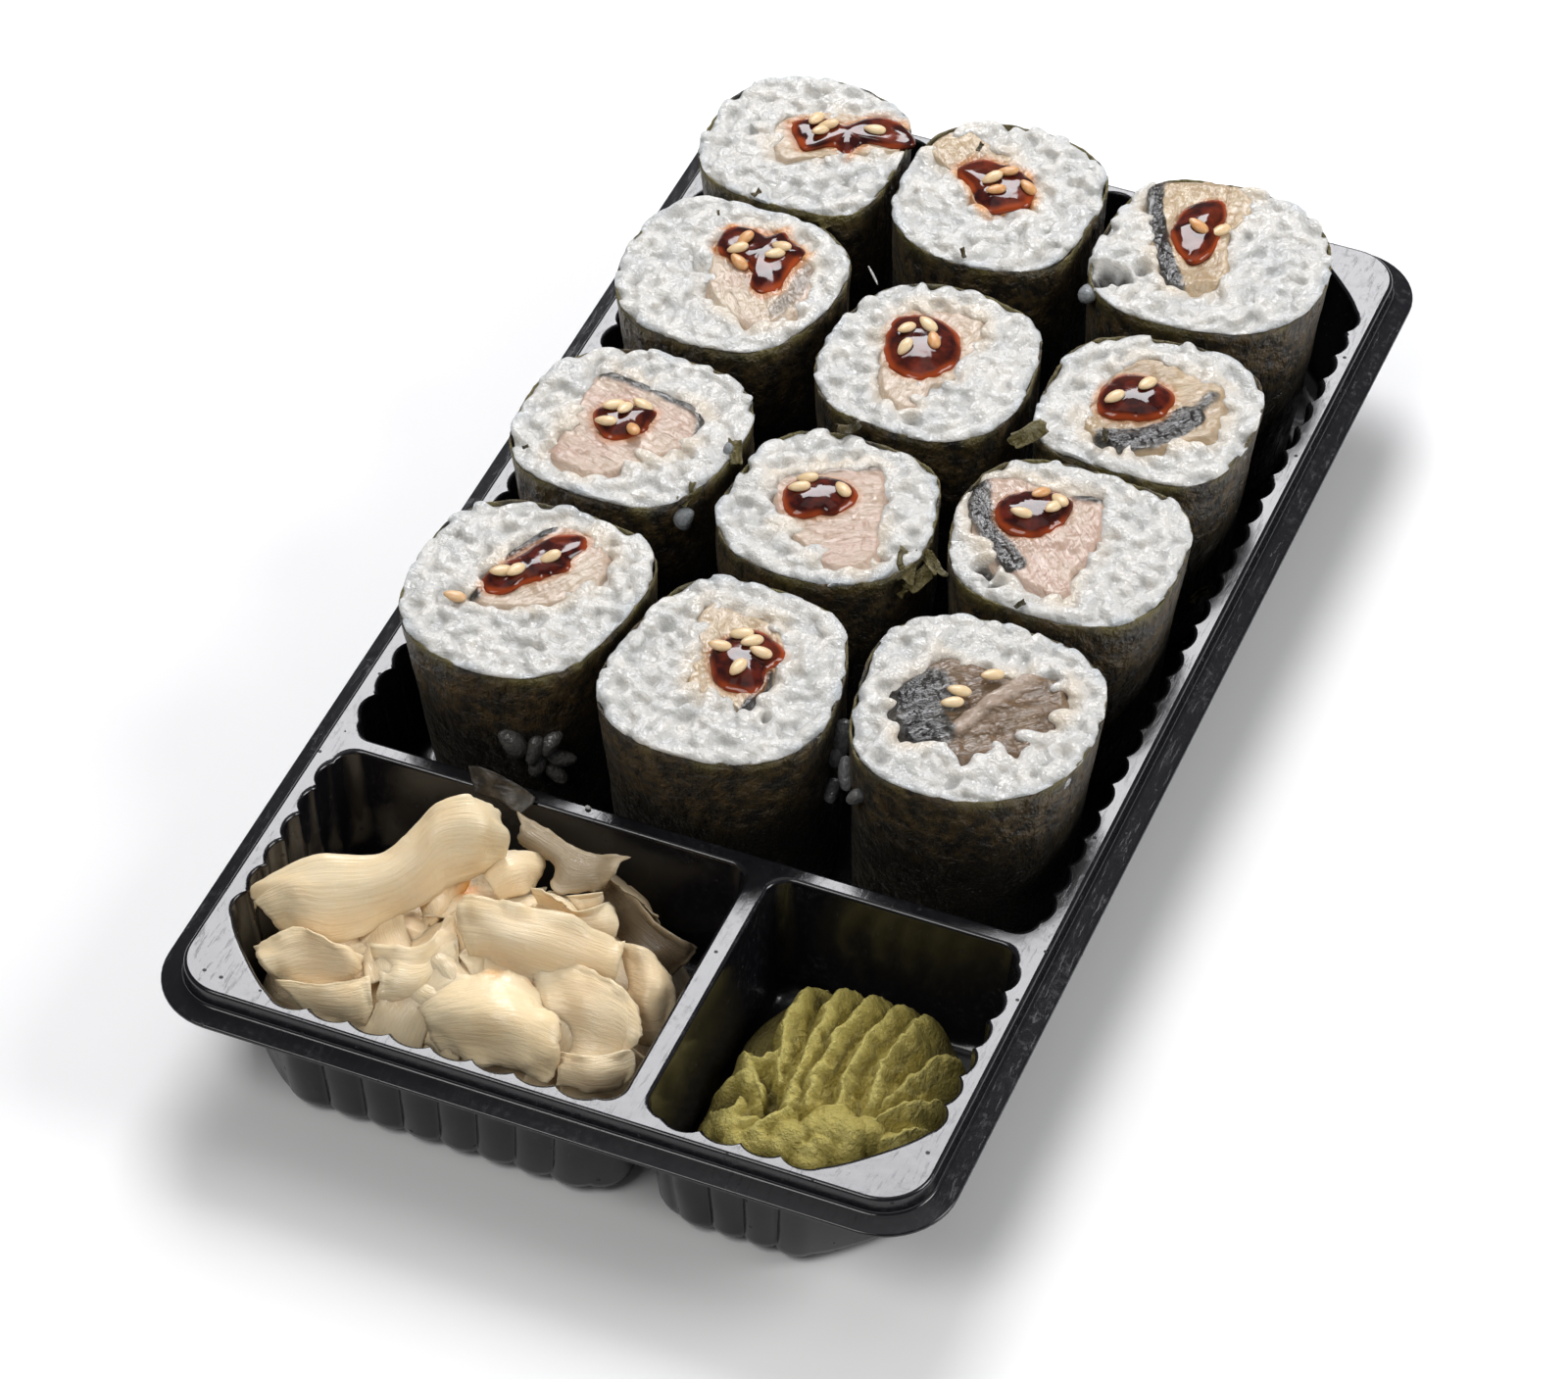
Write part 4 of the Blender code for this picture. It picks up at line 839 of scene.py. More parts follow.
def sheet_finish():
    """Black glossy plastic with fine scratches, dark specks and smudges."""
    looks = bpy.context.scene.tray_sizes
    mat, graph, shader = new_finish("black_sheet")
    spots = graph.spots()
    rubbed = graph.group("mottle", Place=spots, Size=0.011, Low=0.42, High=0.70, Detail=5.0)
    fine = graph.group("mottle", Place=spots, Size=0.0011, Low=0.50, High=0.66, Detail=4.0)
    scratch = graph.group("fibres", Place=spots, Size=0.0014, Stretch=(3.0, 0.35, 1.0))
    scratched = graph.span(scratch, 0.58, 0.66)
    specks = graph.group("specks", Place=spots, Spacing=0.0036, Radius=0.085)
    marked = graph.maths("MULTIPLY", fine, rubbed)
    roughness = graph.span(marked, 0.0, 1.0, looks.gloss, 0.30)
    roughness = graph.maths("ADD", roughness, graph.maths("MULTIPLY", scratched, 0.08))
    roughness = graph.maths("ADD", roughness, graph.maths("MULTIPLY", specks, 0.45))
    height = graph.maths("ADD", graph.maths("MULTIPLY", marked, -0.35),
                         graph.maths("MULTIPLY", scratched, 0.3))
    height = graph.maths("ADD", height, graph.maths("MULTIPLY", specks, -1.0))
    wavy = graph.group("mottle", Place=spots, Size=0.006, Low=0.2, High=0.8, Detail=2.0)
    normal = graph.bump(height, 0.10, 0.0002)
    normal = graph.bump(wavy, 0.05, 0.0006, normal)
    colour = graph.blend(marked, tuple(looks.colour), (0.022, 0.021, 0.024))
    feed(graph, shader, Base_Color=colour, Roughness=roughness, Normal=normal, IOR=1.55)
    return mat


def seaweed_finish():
    """Dark seaweed, thin and fibrous, with olive mottles, gold mottles and light streaks that fade out
    towards the foot (partly the sheet's real gold band under the rice, partly painted shade low down), and
    a green cut edge.
    """
    looks = bpy.context.scene.roll_looks
    mat, graph, shader = new_finish("seaweed")
    spots = graph.spots()
    olive = graph.group("mottle", Place=spots, Size=0.0050, Low=0.42, High=0.62, Detail=4.0)
    gold = graph.group("mottle", Place=spots, Size=0.0024, Low=0.42, High=0.62, Detail=4.0)
    fibre = graph.group("fibres", Place=spots, Size=0.0013, Stretch=(1.0, 1.0, 0.45))
    thin = graph.value_at_points("thin")
    # painted shade: the height value keeps the gold mottles and light streaks to the upper sheet, so the
    # lower sheet stays darker, standing in for the shade of the tray's walls and the neighbouring rolls;
    # near the top it is partly the sheet's real gold band
    upper = graph.span(graph.value_at_points("height"), 0.45, 1.0)
    colour = graph.blend(olive, tuple(looks.sheet), (0.013, 0.0095, 0.0048))
    colour = graph.blend(graph.maths("MULTIPLY", gold, graph.maths("MULTIPLY", upper, 0.60)), colour,
                         (0.13, 0.082, 0.026))
    streak = graph.maths("MULTIPLY", graph.span(fibre, 0.50, 0.70, 0.0, 0.45), upper)
    colour = graph.blend(streak, colour, (0.085, 0.068, 0.042))
    colour = graph.blend(graph.maths("MULTIPLY", thin, 0.8), colour, (0.15, 0.125, 0.030))
    roughness = graph.span(fibre, 0.3, 0.7, 0.55, 0.32)
    height = graph.maths("ADD", fibre, graph.maths("MULTIPLY", olive, 0.8))
    feed(graph, shader, Base_Color=colour, Roughness=roughness,
         Normal=graph.bump(height, 1.0, 0.0008), Specular_IOR_Level=0.55,
         Sheen_Weight=0.07, Sheen_Roughness=0.4, Sheen_Tint=(0.85, 0.78, 0.66))
    return mat


def rice_finish():
    """Moist rice: white, with painted grey-blue shade near the sheet, lower down and in sunk patches,
    warmer at the fish, stained where sauce ran, and painted dark shade in deep pits and on loose grains.
    """
    looks = bpy.context.scene.roll_looks
    mat, graph, shader = new_finish("rice")
    spots = graph.spots()
    cloudy = graph.group("mottle", Place=spots, Size=0.0034, Low=0.35, High=0.65, Detail=2.0)
    fine = graph.group("mottle", Place=spots, Size=0.0009, Low=0.25, High=0.75, Detail=2.0)
    wet = graph.group("mottle", Place=spots, Size=0.0022, Low=0.42, High=0.60, Detail=2.0)
    colour = graph.blend(cloudy, tuple(looks.rice), (0.57, 0.57, 0.555))
    # painted shade: the rim value paints the rice grey-blue near the sheet, lower down and in sunk patches,
    # and fully on the loose grains, standing in for shade
    colour = graph.blend(graph.value_at_points("rim"), colour, (0.42, 0.455, 0.485))
    colour = graph.blend(graph.maths("MULTIPLY", graph.value_at_points("warm"), 0.6), colour,
                         (0.70, 0.59, 0.45))
    colour = graph.blend(graph.value_at_points("stain"), colour, (0.62, 0.25, 0.05))
    # painted shade: the gap value paints the deepest pits and the loose grains in the shade between the
    # rolls nearly black
    colour = graph.blend(graph.value_at_points("gap"), colour, (0.09, 0.085, 0.078))
    roughness = graph.span(wet, 0.0, 1.0, 0.08, 0.22)
    feed(graph, shader, Base_Color=colour, Roughness=roughness, IOR=1.50,
         Normal=graph.bump(fine, 1.0, 0.00024), Subsurface_Weight=0.65, Subsurface_Scale=0.0018)
    shader.inputs["Subsurface Radius"].default_value = (1.0, 0.95, 0.88)
    return mat


def fish_finish():
    """Cured fish: pink, tan or brown flesh in fine fibres, with silver and black skin."""
    mat, graph, shader = new_finish("fish")
    along = graph.places_at_points("along")
    skin = graph.value_at_points("skin")
    tone = graph.value_at_points("tone")
    fibre = graph.group("fibres", Place=along, Size=0.0010, Stretch=(0.22, 1.0, 1.0))
    cloudy = graph.group("mottle", Place=along, Size=0.0030, Low=0.35, High=0.68, Detail=3.0)
    flecks = graph.span(fibre, 0.45, 0.62)
    fine = graph.group("mottle", Place=along, Size=0.0012, Low=0.25, High=0.75, Detail=1.0)
    flesh = graph.blend(graph.span(tone, 0.0, 0.5), (0.52, 0.365, 0.295), (0.56, 0.46, 0.35))
    flesh = graph.blend(graph.span(tone, 0.5, 1.0), flesh, (0.50, 0.375, 0.225))
    flesh = graph.blend(graph.maths("MULTIPLY", cloudy, 0.35), flesh, (0.60, 0.52, 0.41))
    flesh = graph.blend(graph.span(tone, 1.0, 2.0), flesh, (0.13, 0.083, 0.047))
    flesh = graph.blend(graph.span(fibre, 0.42, 0.62, 0.0, 0.34), flesh, (0.32, 0.20, 0.12))
    flesh = graph.blend(graph.maths("MULTIPLY", graph.value_at_points("fat"), 0.85), flesh,
                        (0.40, 0.31, 0.24))
    silver = graph.blend(flecks, (0.055, 0.050, 0.042), (0.15, 0.14, 0.12))
    silver = graph.blend(graph.span(skin, 0.40, 0.85), silver, (0.014, 0.012, 0.011))
    colour = graph.blend(graph.span(skin, 0.0, 0.5), flesh, silver)
    colour = graph.blend(graph.value_at_points("stain"), colour, (0.46, 0.17, 0.04))
    roughness = graph.span(cloudy, 0.0, 1.0, 0.07, 0.22)
    height = graph.maths("ADD", fibre, graph.maths("MULTIPLY", fine, 0.3))
    feed(graph, shader, Base_Color=colour, Roughness=roughness, IOR=1.50,
         Normal=graph.bump(height, 0.8, 0.0005), Subsurface_Weight=0.25, Subsurface_Scale=0.0010)
    shader.inputs["Subsurface Radius"].default_value = (1.0, 0.75, 0.6)
    return mat


def sauce_finish():
    """Thick sweet sauce: near black where deep, red brown at its thin edge."""
    looks = bpy.context.scene.roll_looks
    mat, graph, shader = new_finish("sauce")
    spots = graph.spots()
    thin = graph.value_at_points("thin")
    streaks = graph.group("mottle", Place=spots, Size=0.0024, Low=0.45, High=0.75, Detail=2.0)
    colour = graph.blend(graph.maths("MULTIPLY", streaks, 0.7), tuple(looks.sauce),
                         (0.17, 0.020, 0.009))
    colour = graph.blend(thin, colour, (0.34, 0.055, 0.012))
    roughness = graph.span(streaks, 0.0, 1.0, 0.06, 0.16)
    wavy = graph.group("mottle", Place=spots, Size=0.0030, Low=0.2, High=0.8, Detail=1.0)
    feed(graph, shader, Base_Color=colour, Roughness=roughness, IOR=1.45,
         Normal=graph.bump(wavy, 0.22, 0.0005))
    return mat


def sesame_finish():
    """Toasted sesame: cream, some seeds orange brown, darker at the tip."""
    mat, graph, shader = new_finish("sesame")
    toast = graph.value_at_points("toast")
    tip = graph.value_at_points("tip")
    grain = graph.group("mottle", Place=graph.spots(), Size=0.0006, Low=0.3, High=0.7, Detail=3.0)
    colour = graph.blend(toast, (0.78, 0.60, 0.35), (0.62, 0.26, 0.06))
    colour = graph.blend(graph.maths("MULTIPLY", tip, 0.6), colour, (0.45, 0.24, 0.09))
    colour = graph.blend(graph.maths("MULTIPLY", grain, 0.25), colour, (0.88, 0.74, 0.50))
    feed(graph, shader, Base_Color=colour, Roughness=graph.span(grain, 0.0, 1.0, 0.25, 0.4),
         Normal=graph.bump(grain, 0.2, 0.0001), Subsurface_Weight=0.15, Subsurface_Scale=0.0005)
    return mat


def ginger_finish():
    """Wet pickled ginger: pale cream, clear and browner where thin, with fine fibres."""
    looks = bpy.context.scene.side_looks
    mat, graph, shader = new_finish("pickled_ginger")
    along = graph.places_at_points("along")
    spots = graph.spots()
    fibre = graph.group("fibres", Place=along, Size=0.0007, Stretch=(0.12, 1.0, 1.0))
    cloudy = graph.group("mottle", Place=spots, Size=0.0075, Low=0.35, High=0.65, Detail=3.0)
    peach = graph.group("mottle", Place=spots, Size=0.0120, Low=0.42, High=0.68, Detail=2.0)
    wet = graph.group("mottle", Place=spots, Size=0.0024, Low=0.35, High=0.65, Detail=3.0)
    colour = graph.blend(graph.maths("MULTIPLY", cloudy, 0.45), tuple(looks.ginger), (0.96, 0.87, 0.66))
    colour = graph.blend(graph.maths("MULTIPLY", peach, 0.45), colour, (0.92, 0.66, 0.37))
    colour = graph.blend(graph.span(fibre, 0.42, 0.68, 0.0, 0.18), colour, (0.78, 0.57, 0.33))
    colour = graph.blend(graph.value_at_points("tone"), colour, (0.16, 0.12, 0.075))
    colour = graph.blend(graph.value_at_points("clear"), colour, (0.62, 0.50, 0.33))
    colour = graph.blend(graph.value_at_points("spot"), colour, (0.80, 0.34, 0.05))
    feed(graph, shader, Base_Color=colour, Roughness=graph.span(wet, 0.0, 1.0, 0.12, 0.32), IOR=1.45,
         Normal=graph.bump(fibre, 0.6, 0.0003), Subsurface_Weight=0.2, Subsurface_Scale=0.0012)
    shader.inputs["Subsurface Radius"].default_value = (1.0, 0.8, 0.6)
    return mat


def paste_finish():
    """Grainy green paste, with painted highlights on its crests and painted shade in its valleys."""
    looks = bpy.context.scene.side_looks
    mat, graph, shader = new_finish("green_paste")
    spots = graph.spots()
    crumbs = graph.group("mottle", Place=spots, Size=0.0006, Low=0.30, High=0.70, Detail=4.0)
    cloudy = graph.group("mottle", Place=spots, Size=0.0030, Low=0.35, High=0.65, Detail=3.0)
    # painted highlight: the crest value paints the crest lines and lump tops paler, as light catching them
    crest = graph.value_at_points("crest")
    colour = graph.blend(graph.maths("MULTIPLY", cloudy, 0.5), tuple(looks.paste), (0.42, 0.35, 0.085))
    # painted shade: the valley value paints the hollows below the crests darker, standing in for the shade
    # there
    colour = graph.blend(graph.value_at_points("valley"), colour, (0.15, 0.115, 0.024))
    colour = graph.blend(graph.maths("MULTIPLY", crest, 0.6), colour, (0.76, 0.66, 0.21))
    colour = graph.blend(graph.maths("MULTIPLY", crumbs, 0.2), colour, (0.72, 0.62, 0.21))
    feed(graph, shader, Base_Color=colour, Roughness=graph.span(crumbs, 0.0, 1.0, 0.35, 0.55),
         Normal=graph.bump(crumbs, 1.0, 0.0004))
    return mat


def scrap_finish():
    """A shred of fish skin: brown grey, thin and fibrous."""
    mat, graph, shader = new_finish("fish_skin")
    spots = graph.spots()
    fibre = graph.group("fibres", Place=spots, Size=0.0009, Stretch=(0.3, 1.0, 1.0))
    patch = graph.group("mottle", Place=spots, Size=0.0028, Low=0.40, High=0.62, Detail=3.0)
    colour = graph.blend(patch, (0.030, 0.026, 0.022), (0.13, 0.115, 0.092))
    colour = graph.blend(graph.maths("MULTIPLY", fibre, 0.5), colour, (0.020, 0.018, 0.015))
    feed(graph, shader, Base_Color=colour, Roughness=graph.span(fibre, 0.2, 0.8, 0.3, 0.55),
         Normal=graph.bump(fibre, 0.6, 0.0004))
    return mat


def floor_finish():
    mat, graph, shader = new_finish("pale_floor")
    faint = graph.group("mottle", Place=graph.spots(), Size=0.05, Low=0.2, High=0.8, Detail=2.0)
    colour = graph.blend(faint, (0.94, 0.94, 0.94), (0.96, 0.96, 0.96))
    feed(graph, shader, Base_Color=colour, Roughness=0.85)
    return mat


class Well:
    """A well of the tray: its box, which corners are cut off, and which sides are fluted."""

    def __init__(self, x0, x1, y0, y1, chamfered, fluted):
        self.x = (x0, x1, x1, x0)
        self.y = (y0, y0, y1, y1)
        self.chamfered = chamfered
        self.fluted = fluted

    def corner(self, number, inset, grow):
        """Points round one corner, numbered anticlockwise from the front left."""
        start = math.radians(180 + 90 * number)
        first = Vector((math.cos(start), math.sin(start)))
        last = Vector((-first.y, first.x))
        cut = number in self.chamfered
        size = (OUTER_CHAMFER if cut else INNER_CORNER) + grow
        middle = Vector((self.x[number], self.y[number])) - (first + last) * (size + inset)
        points = []
        for step in range(9):
            turn = step / 8
            round_point = first * math.cos(turn * math.pi / 2) + last * math.sin(turn * math.pi / 2)
            if cut:
                flat = first * (1 - turn) + last * turn
                ease = 0.22 + 0.5 * abs(turn - 0.5) ** 2
                round_point = flat.lerp(round_point, ease)
            points.append(middle + round_point * size)
        return points

    def outline(self, inset, grow, flute):
        """One level of the walls, anticlockwise, with pointed cusps between round flutes."""
        points = []
        for side in range(4):
            corner = self.corner(side, inset, grow)
            points += corner
            if side not in self.fluted:
                continue
            start = corner[-1]
            end = self.corner((side + 1) % 4, inset, grow)[0]
            along = end - start
            out = Vector((along.y, -along.x)).normalized()
            flutes = self.flute_count(side)
            for i in range(1, flutes * FLUTE_STEPS):
                share = i / FLUTE_STEPS % 1
                depth = flute * math.sin(math.pi * share) ** 0.7
                points.append(start + along * (i / FLUTE_STEPS / flutes) + out * depth)
        return points

    def flute_count(self, side):
        start = self.corner(side, 0, 0)[-1]
        end = self.corner((side + 1) % 4, 0, 0)[0]
        return round((end - start).length / FLUTE_PITCH)


def rounded_rectangle(grow, z):
    points = []
    radius = FLANGE_CORNER + grow
    for corner in range(4):
        sign_x = (1, -1, -1, 1)[corner]
        sign_y = (1, 1, -1, -1)[corner]
        for step in range(13):
            angle = math.radians(90 * corner + 90 * step / 12)
            points.append((sign_x * (FLANGE_HALF_X - FLANGE_CORNER) + radius * math.cos(angle),
                           sign_y * (FLANGE_HALF_Y - FLANGE_CORNER) + radius * math.sin(angle), z))
    return points


def quarter(steps, radius, inner=False):
    """A rounded edge: distances outwards and downwards from its start, convex or inner."""
    bends = [math.pi / 2 * i / steps for i in range(steps + 1)]
    if inner:
        return [(radius * (1 - math.cos(b)), radius * math.sin(b)) for b in bends]
    return [(radius * math.sin(b), radius * (1 - math.cos(b))) for b in bends]


def rim_profile():
    """The rim's section from the flange's flat outwards: step, ledge and lip, with round edges."""
    r = EDGE_ROUND
    top = TRAY_HEIGHT
    profile = [(out - r, top - down) for out, down in quarter(4, r)]
    ledge = top - STEP_DROP
    profile += [(STEP_SLOPE + out, ledge + r - down) for out, down in quarter(4, r, inner=True)]
    edge = LEDGE_WIDTH + STEP_SLOPE
    outer = r * 0.6
    profile += [(edge - outer + out, ledge - LEDGE_FALL - down) for out, down in quarter(4, outer)]
    profile.append((edge, ledge - LIP_DROP))
    return profile


def wall_levels():
    """Levels of a well's walls from the flange down: inset, corner growth, flute depth, height."""
    r = EDGE_ROUND
    levels = [(out - r, 0, FLUTE_DEPTH, TRAY_HEIGHT - down) for out, down in quarter(4, r)]
    bottom = SHEET + FLOOR_FILLET
    start = TRAY_HEIGHT - r
    for share in (0.33, 0.66, 1):
        levels.append((WALL_DRAFT * share, 0.5 * share, FLUTE_DEPTH, start + (bottom - start) * share))
    for step in (1, 2, 3, 4):
        bend = math.pi / 2 * step / 4
        fade = 1 - (1 - FLUTE_LEFT_AT_FLOOR) * (step / 4) ** 1.5
        levels.append((WALL_DRAFT + FLOOR_FILLET * (1 - math.cos(bend)), 0.5 + 0.7 * step / 4,
                       FLUTE_DEPTH * fade, bottom - FLOOR_FILLET * math.sin(bend)))
    return levels


class SUSHI_OT_tray(bpy.types.Operator):
    """Make the black tray with round flutes, a stepped rim and soft edges"""

    bl_idname = "sushi.tray"
    bl_label = "Tray"

    def execute(self, context):
        wells = (
            Well(-WELL_HALF_X, WELL_HALF_X, MAIN_FRONT_Y, WELL_HALF_Y, (2, 3), (1, 2, 3)),
            Well(-WELL_HALF_X, GINGER_RIGHT_X, -WELL_HALF_Y, SMALL_BACK_Y, (0,), (0, 3)),
            Well(WASABI_LEFT_X, WELL_HALF_X, -WELL_HALF_Y, SMALL_BACK_Y, (1,), (0, 1)),
        )
        bm = bmesh.new()

        def add_loop(points):
            return [bm.verts.new(point) for point in points]

        def join(upper, lower):
            for i in range(len(upper)):
                j = (i + 1) % len(upper)
                bm.faces.new((upper[i], lower[i], lower[j], upper[j]))

        rings = [add_loop(rounded_rectangle(out, z)) for out, z in rim_profile()]
        for upper, lower in zip(rings, rings[1:]):
            join(upper, lower)
        border = [bm.edges.get((rings[0][i], rings[0][i - 1])) for i in range(len(rings[0]))]
        for well in wells:
            loops = []
            for inset, grow, flute, z in wall_levels():
                loops.append(add_loop([(p.x, p.y, z) for p in well.outline(inset, grow, flute)]))
            for upper, lower in zip(loops, loops[1:]):
                join(lower, upper)
            bm.faces.new(loops[-1])
            border += [bm.edges.get((loops[0][i], loops[0][i - 1])) for i in range(len(loops[0]))]
        bmesh.ops.triangle_fill(bm, edges=border, use_beauty=True)
        for face in bm.faces:
            face.smooth = True
            if face.normal.z < -0.9:
                face.normal_flip()
        for edge in border:
            edge.smooth = False
        bmesh.ops.scale(bm, vec=(MM, MM, MM), verts=bm.verts)
        mesh = bpy.data.meshes.new("tray_sheet")
        bm.to_mesh(mesh)
        bm.free()
        mesh.materials.append(sheet_finish())
        tray = bpy.data.objects.new("tray_sheet", mesh)
        context.scene.collection.objects.link(tray)
        solid = tray.modifiers.new("sheet", "SOLIDIFY")
        solid.thickness = SHEET * MM
        solid.offset = -1
        put(tray, "black_sheet", "tray")
        return {"FINISHED"}


class SUSHI_OT_seaweed(bpy.types.Operator):
    """Make the seaweed sheet round every roll, creased and ragged at its cut edge, and its flakes"""

    bl_idname = "sushi.seaweed"
    bl_label = "Seaweed"

    columns = 170
    rows = 18

    def execute(self, context):
        mat = seaweed_finish()
        for number, roll in enumerate(ROLLS):
            sheet = Builder()
            self.sheet(sheet, roll, number)
            put(sheet.make(roll.name + "_sheet", mat), "seaweed", roll.name + "_nori")
        flakes = Builder()
        for number, flake in enumerate(FLAKES):
            self.flake(flakes, number, *flake)
        put(flakes.make("seaweed_flakes", mat), "seaweed")
        return {"FINISHED"}

    def sheet(self, builder, roll, number):
        angles = np.linspace(0, 2 * math.pi, self.columns, endpoint=False)
        outer = np.zeros((self.rows, self.columns, 3))
        inner = np.zeros_like(outer)
        around = stacked(np.cos(angles) * 18, np.sin(angles) * 18, number * 50.0)
        lip = 0.30 * rough(around, 5.0, 3) + 0.14 * noise(around, 1.1, 9)
        for row in range(self.rows):
            level = (row / (self.rows - 1)) ** 0.8
            x, y = roll.centre(level)
            z = FLOOR_Z + (roll.top - SHEET_DROP - FLOOR_Z) * level + lip * level ** 6
            flat = stacked(np.cos(angles) * 18, np.sin(angles) * 18, z + number * 50)
            creases = rough(flat * (1, 1, 0.45), 3.4, 5, 4)
            radius = roll.outline(angles, level) - 0.25 - 0.30 * abs(creases) - 0.2 * noise(flat, 9.0, 21)
            outer[row] = stacked(x + radius * np.cos(angles), y + radius * np.sin(angles), z)
            thin = radius - SHEET_THICKNESS
            inner[row] = stacked(x + thin * np.cos(angles), y + thin * np.sin(angles), z - 0.05)
        faces = tube_faces(2 * self.rows, self.columns)
        levels = (np.arange(self.rows) / (self.rows - 1))[:, None] ** 0.8
        green = smooth_step((levels - 0.93) / 0.07) * clamp01(0.6 + rough(around, 4.0, 33))[None, :]
        # painted shade: this rises from 0 at the foot to 1 near the top, so the finish paints the lower
        # sheet darker as shade; near the top it is partly the real gold band under the rice
        upper = np.repeat(smooth_step((levels - 0.25) / 0.6), self.columns, axis=1)
        builder.add(np.concatenate([outer.reshape(-1, 3), inner[::-1].reshape(-1, 3)]), faces,
                    thin=np.concatenate([green.reshape(-1), green[::-1].reshape(-1)]),
                    height=np.concatenate([upper.reshape(-1), upper[::-1].reshape(-1)]))

    def flake(self, builder, number, pixel_x, pixel_y, height, size, degrees):
        """A crumpled flake that lies where the picture shows it."""
        if height:
            at, facing = Picture.place(pixel_x, pixel_y, height), Vector((0.1, -0.3, 1)).normalized()
        else:
            at, facing = Picture.touch(pixel_x, pixel_y)
        first = facing.orthogonal().normalized()
        first = Matrix.Rotation(math.radians(degrees), 3, facing) @ first
        second = facing.cross(first)
        count = 9
        u, v = np.meshgrid(np.linspace(-0.5, 0.5, count), np.linspace(-0.5, 0.5, count), indexing="ij")
        ragged = 1 + 0.25 * noise(stacked(u * 6, v * 6, number * 9.0), 1.3, 7)
        curl = size * (0.30 * noise(stacked(u * 4, v * 4, number * 5.0), 1.6, 13) + 0.5 * u * u)
        upper = (np.array(at) + (u * ragged * size)[..., None] * np.array(first)
                 + (v * ragged * size * 0.45)[..., None] * np.array(second)
                 + curl[..., None] * np.array(facing)).reshape(-1, 3)
        lower = upper - np.array(facing) * 0.12
        # flakes lie on top and take the full height value, so they get none of the painted shade of the
        # lower sheet
        add_leaf(builder, upper, lower, count, count, thin=0.8 if size > 3.5 else 0.3, height=1.0)


def unit_grain(sides=10, rings=7):
    """Points and faces of a grain one unit long, slightly bent and blunt."""
    points = []
    for ring in range(rings + 2):
        along = -math.cos(math.pi * ring / (rings + 1)) / 2
        girth = (1 - (2 * along) ** 2) ** 0.42 / 2
        for i in range(1 if ring in (0, rings + 1) else sides):
            angle = 2 * math.pi * i / sides
            points.append((along, girth * math.cos(angle), girth * math.sin(angle)))
    faces = []
    for i in range(sides):
        j = (i + 1) % sides
        faces.append((0, 1 + j, 1 + i))
        for ring in range(rings - 1):
            a, b = 1 + ring * sides, 1 + (ring + 1) * sides
            faces.append((a + i, a + j, b + j, b + i))
        last = 1 + (rings - 1) * sides
        faces.append((last + i, last + j, last + sides))
    points = np.array(points)
    points[:, 1] += 0.16 * (points[:, 0] ** 2 * 4 - 0.4)
    return points, faces


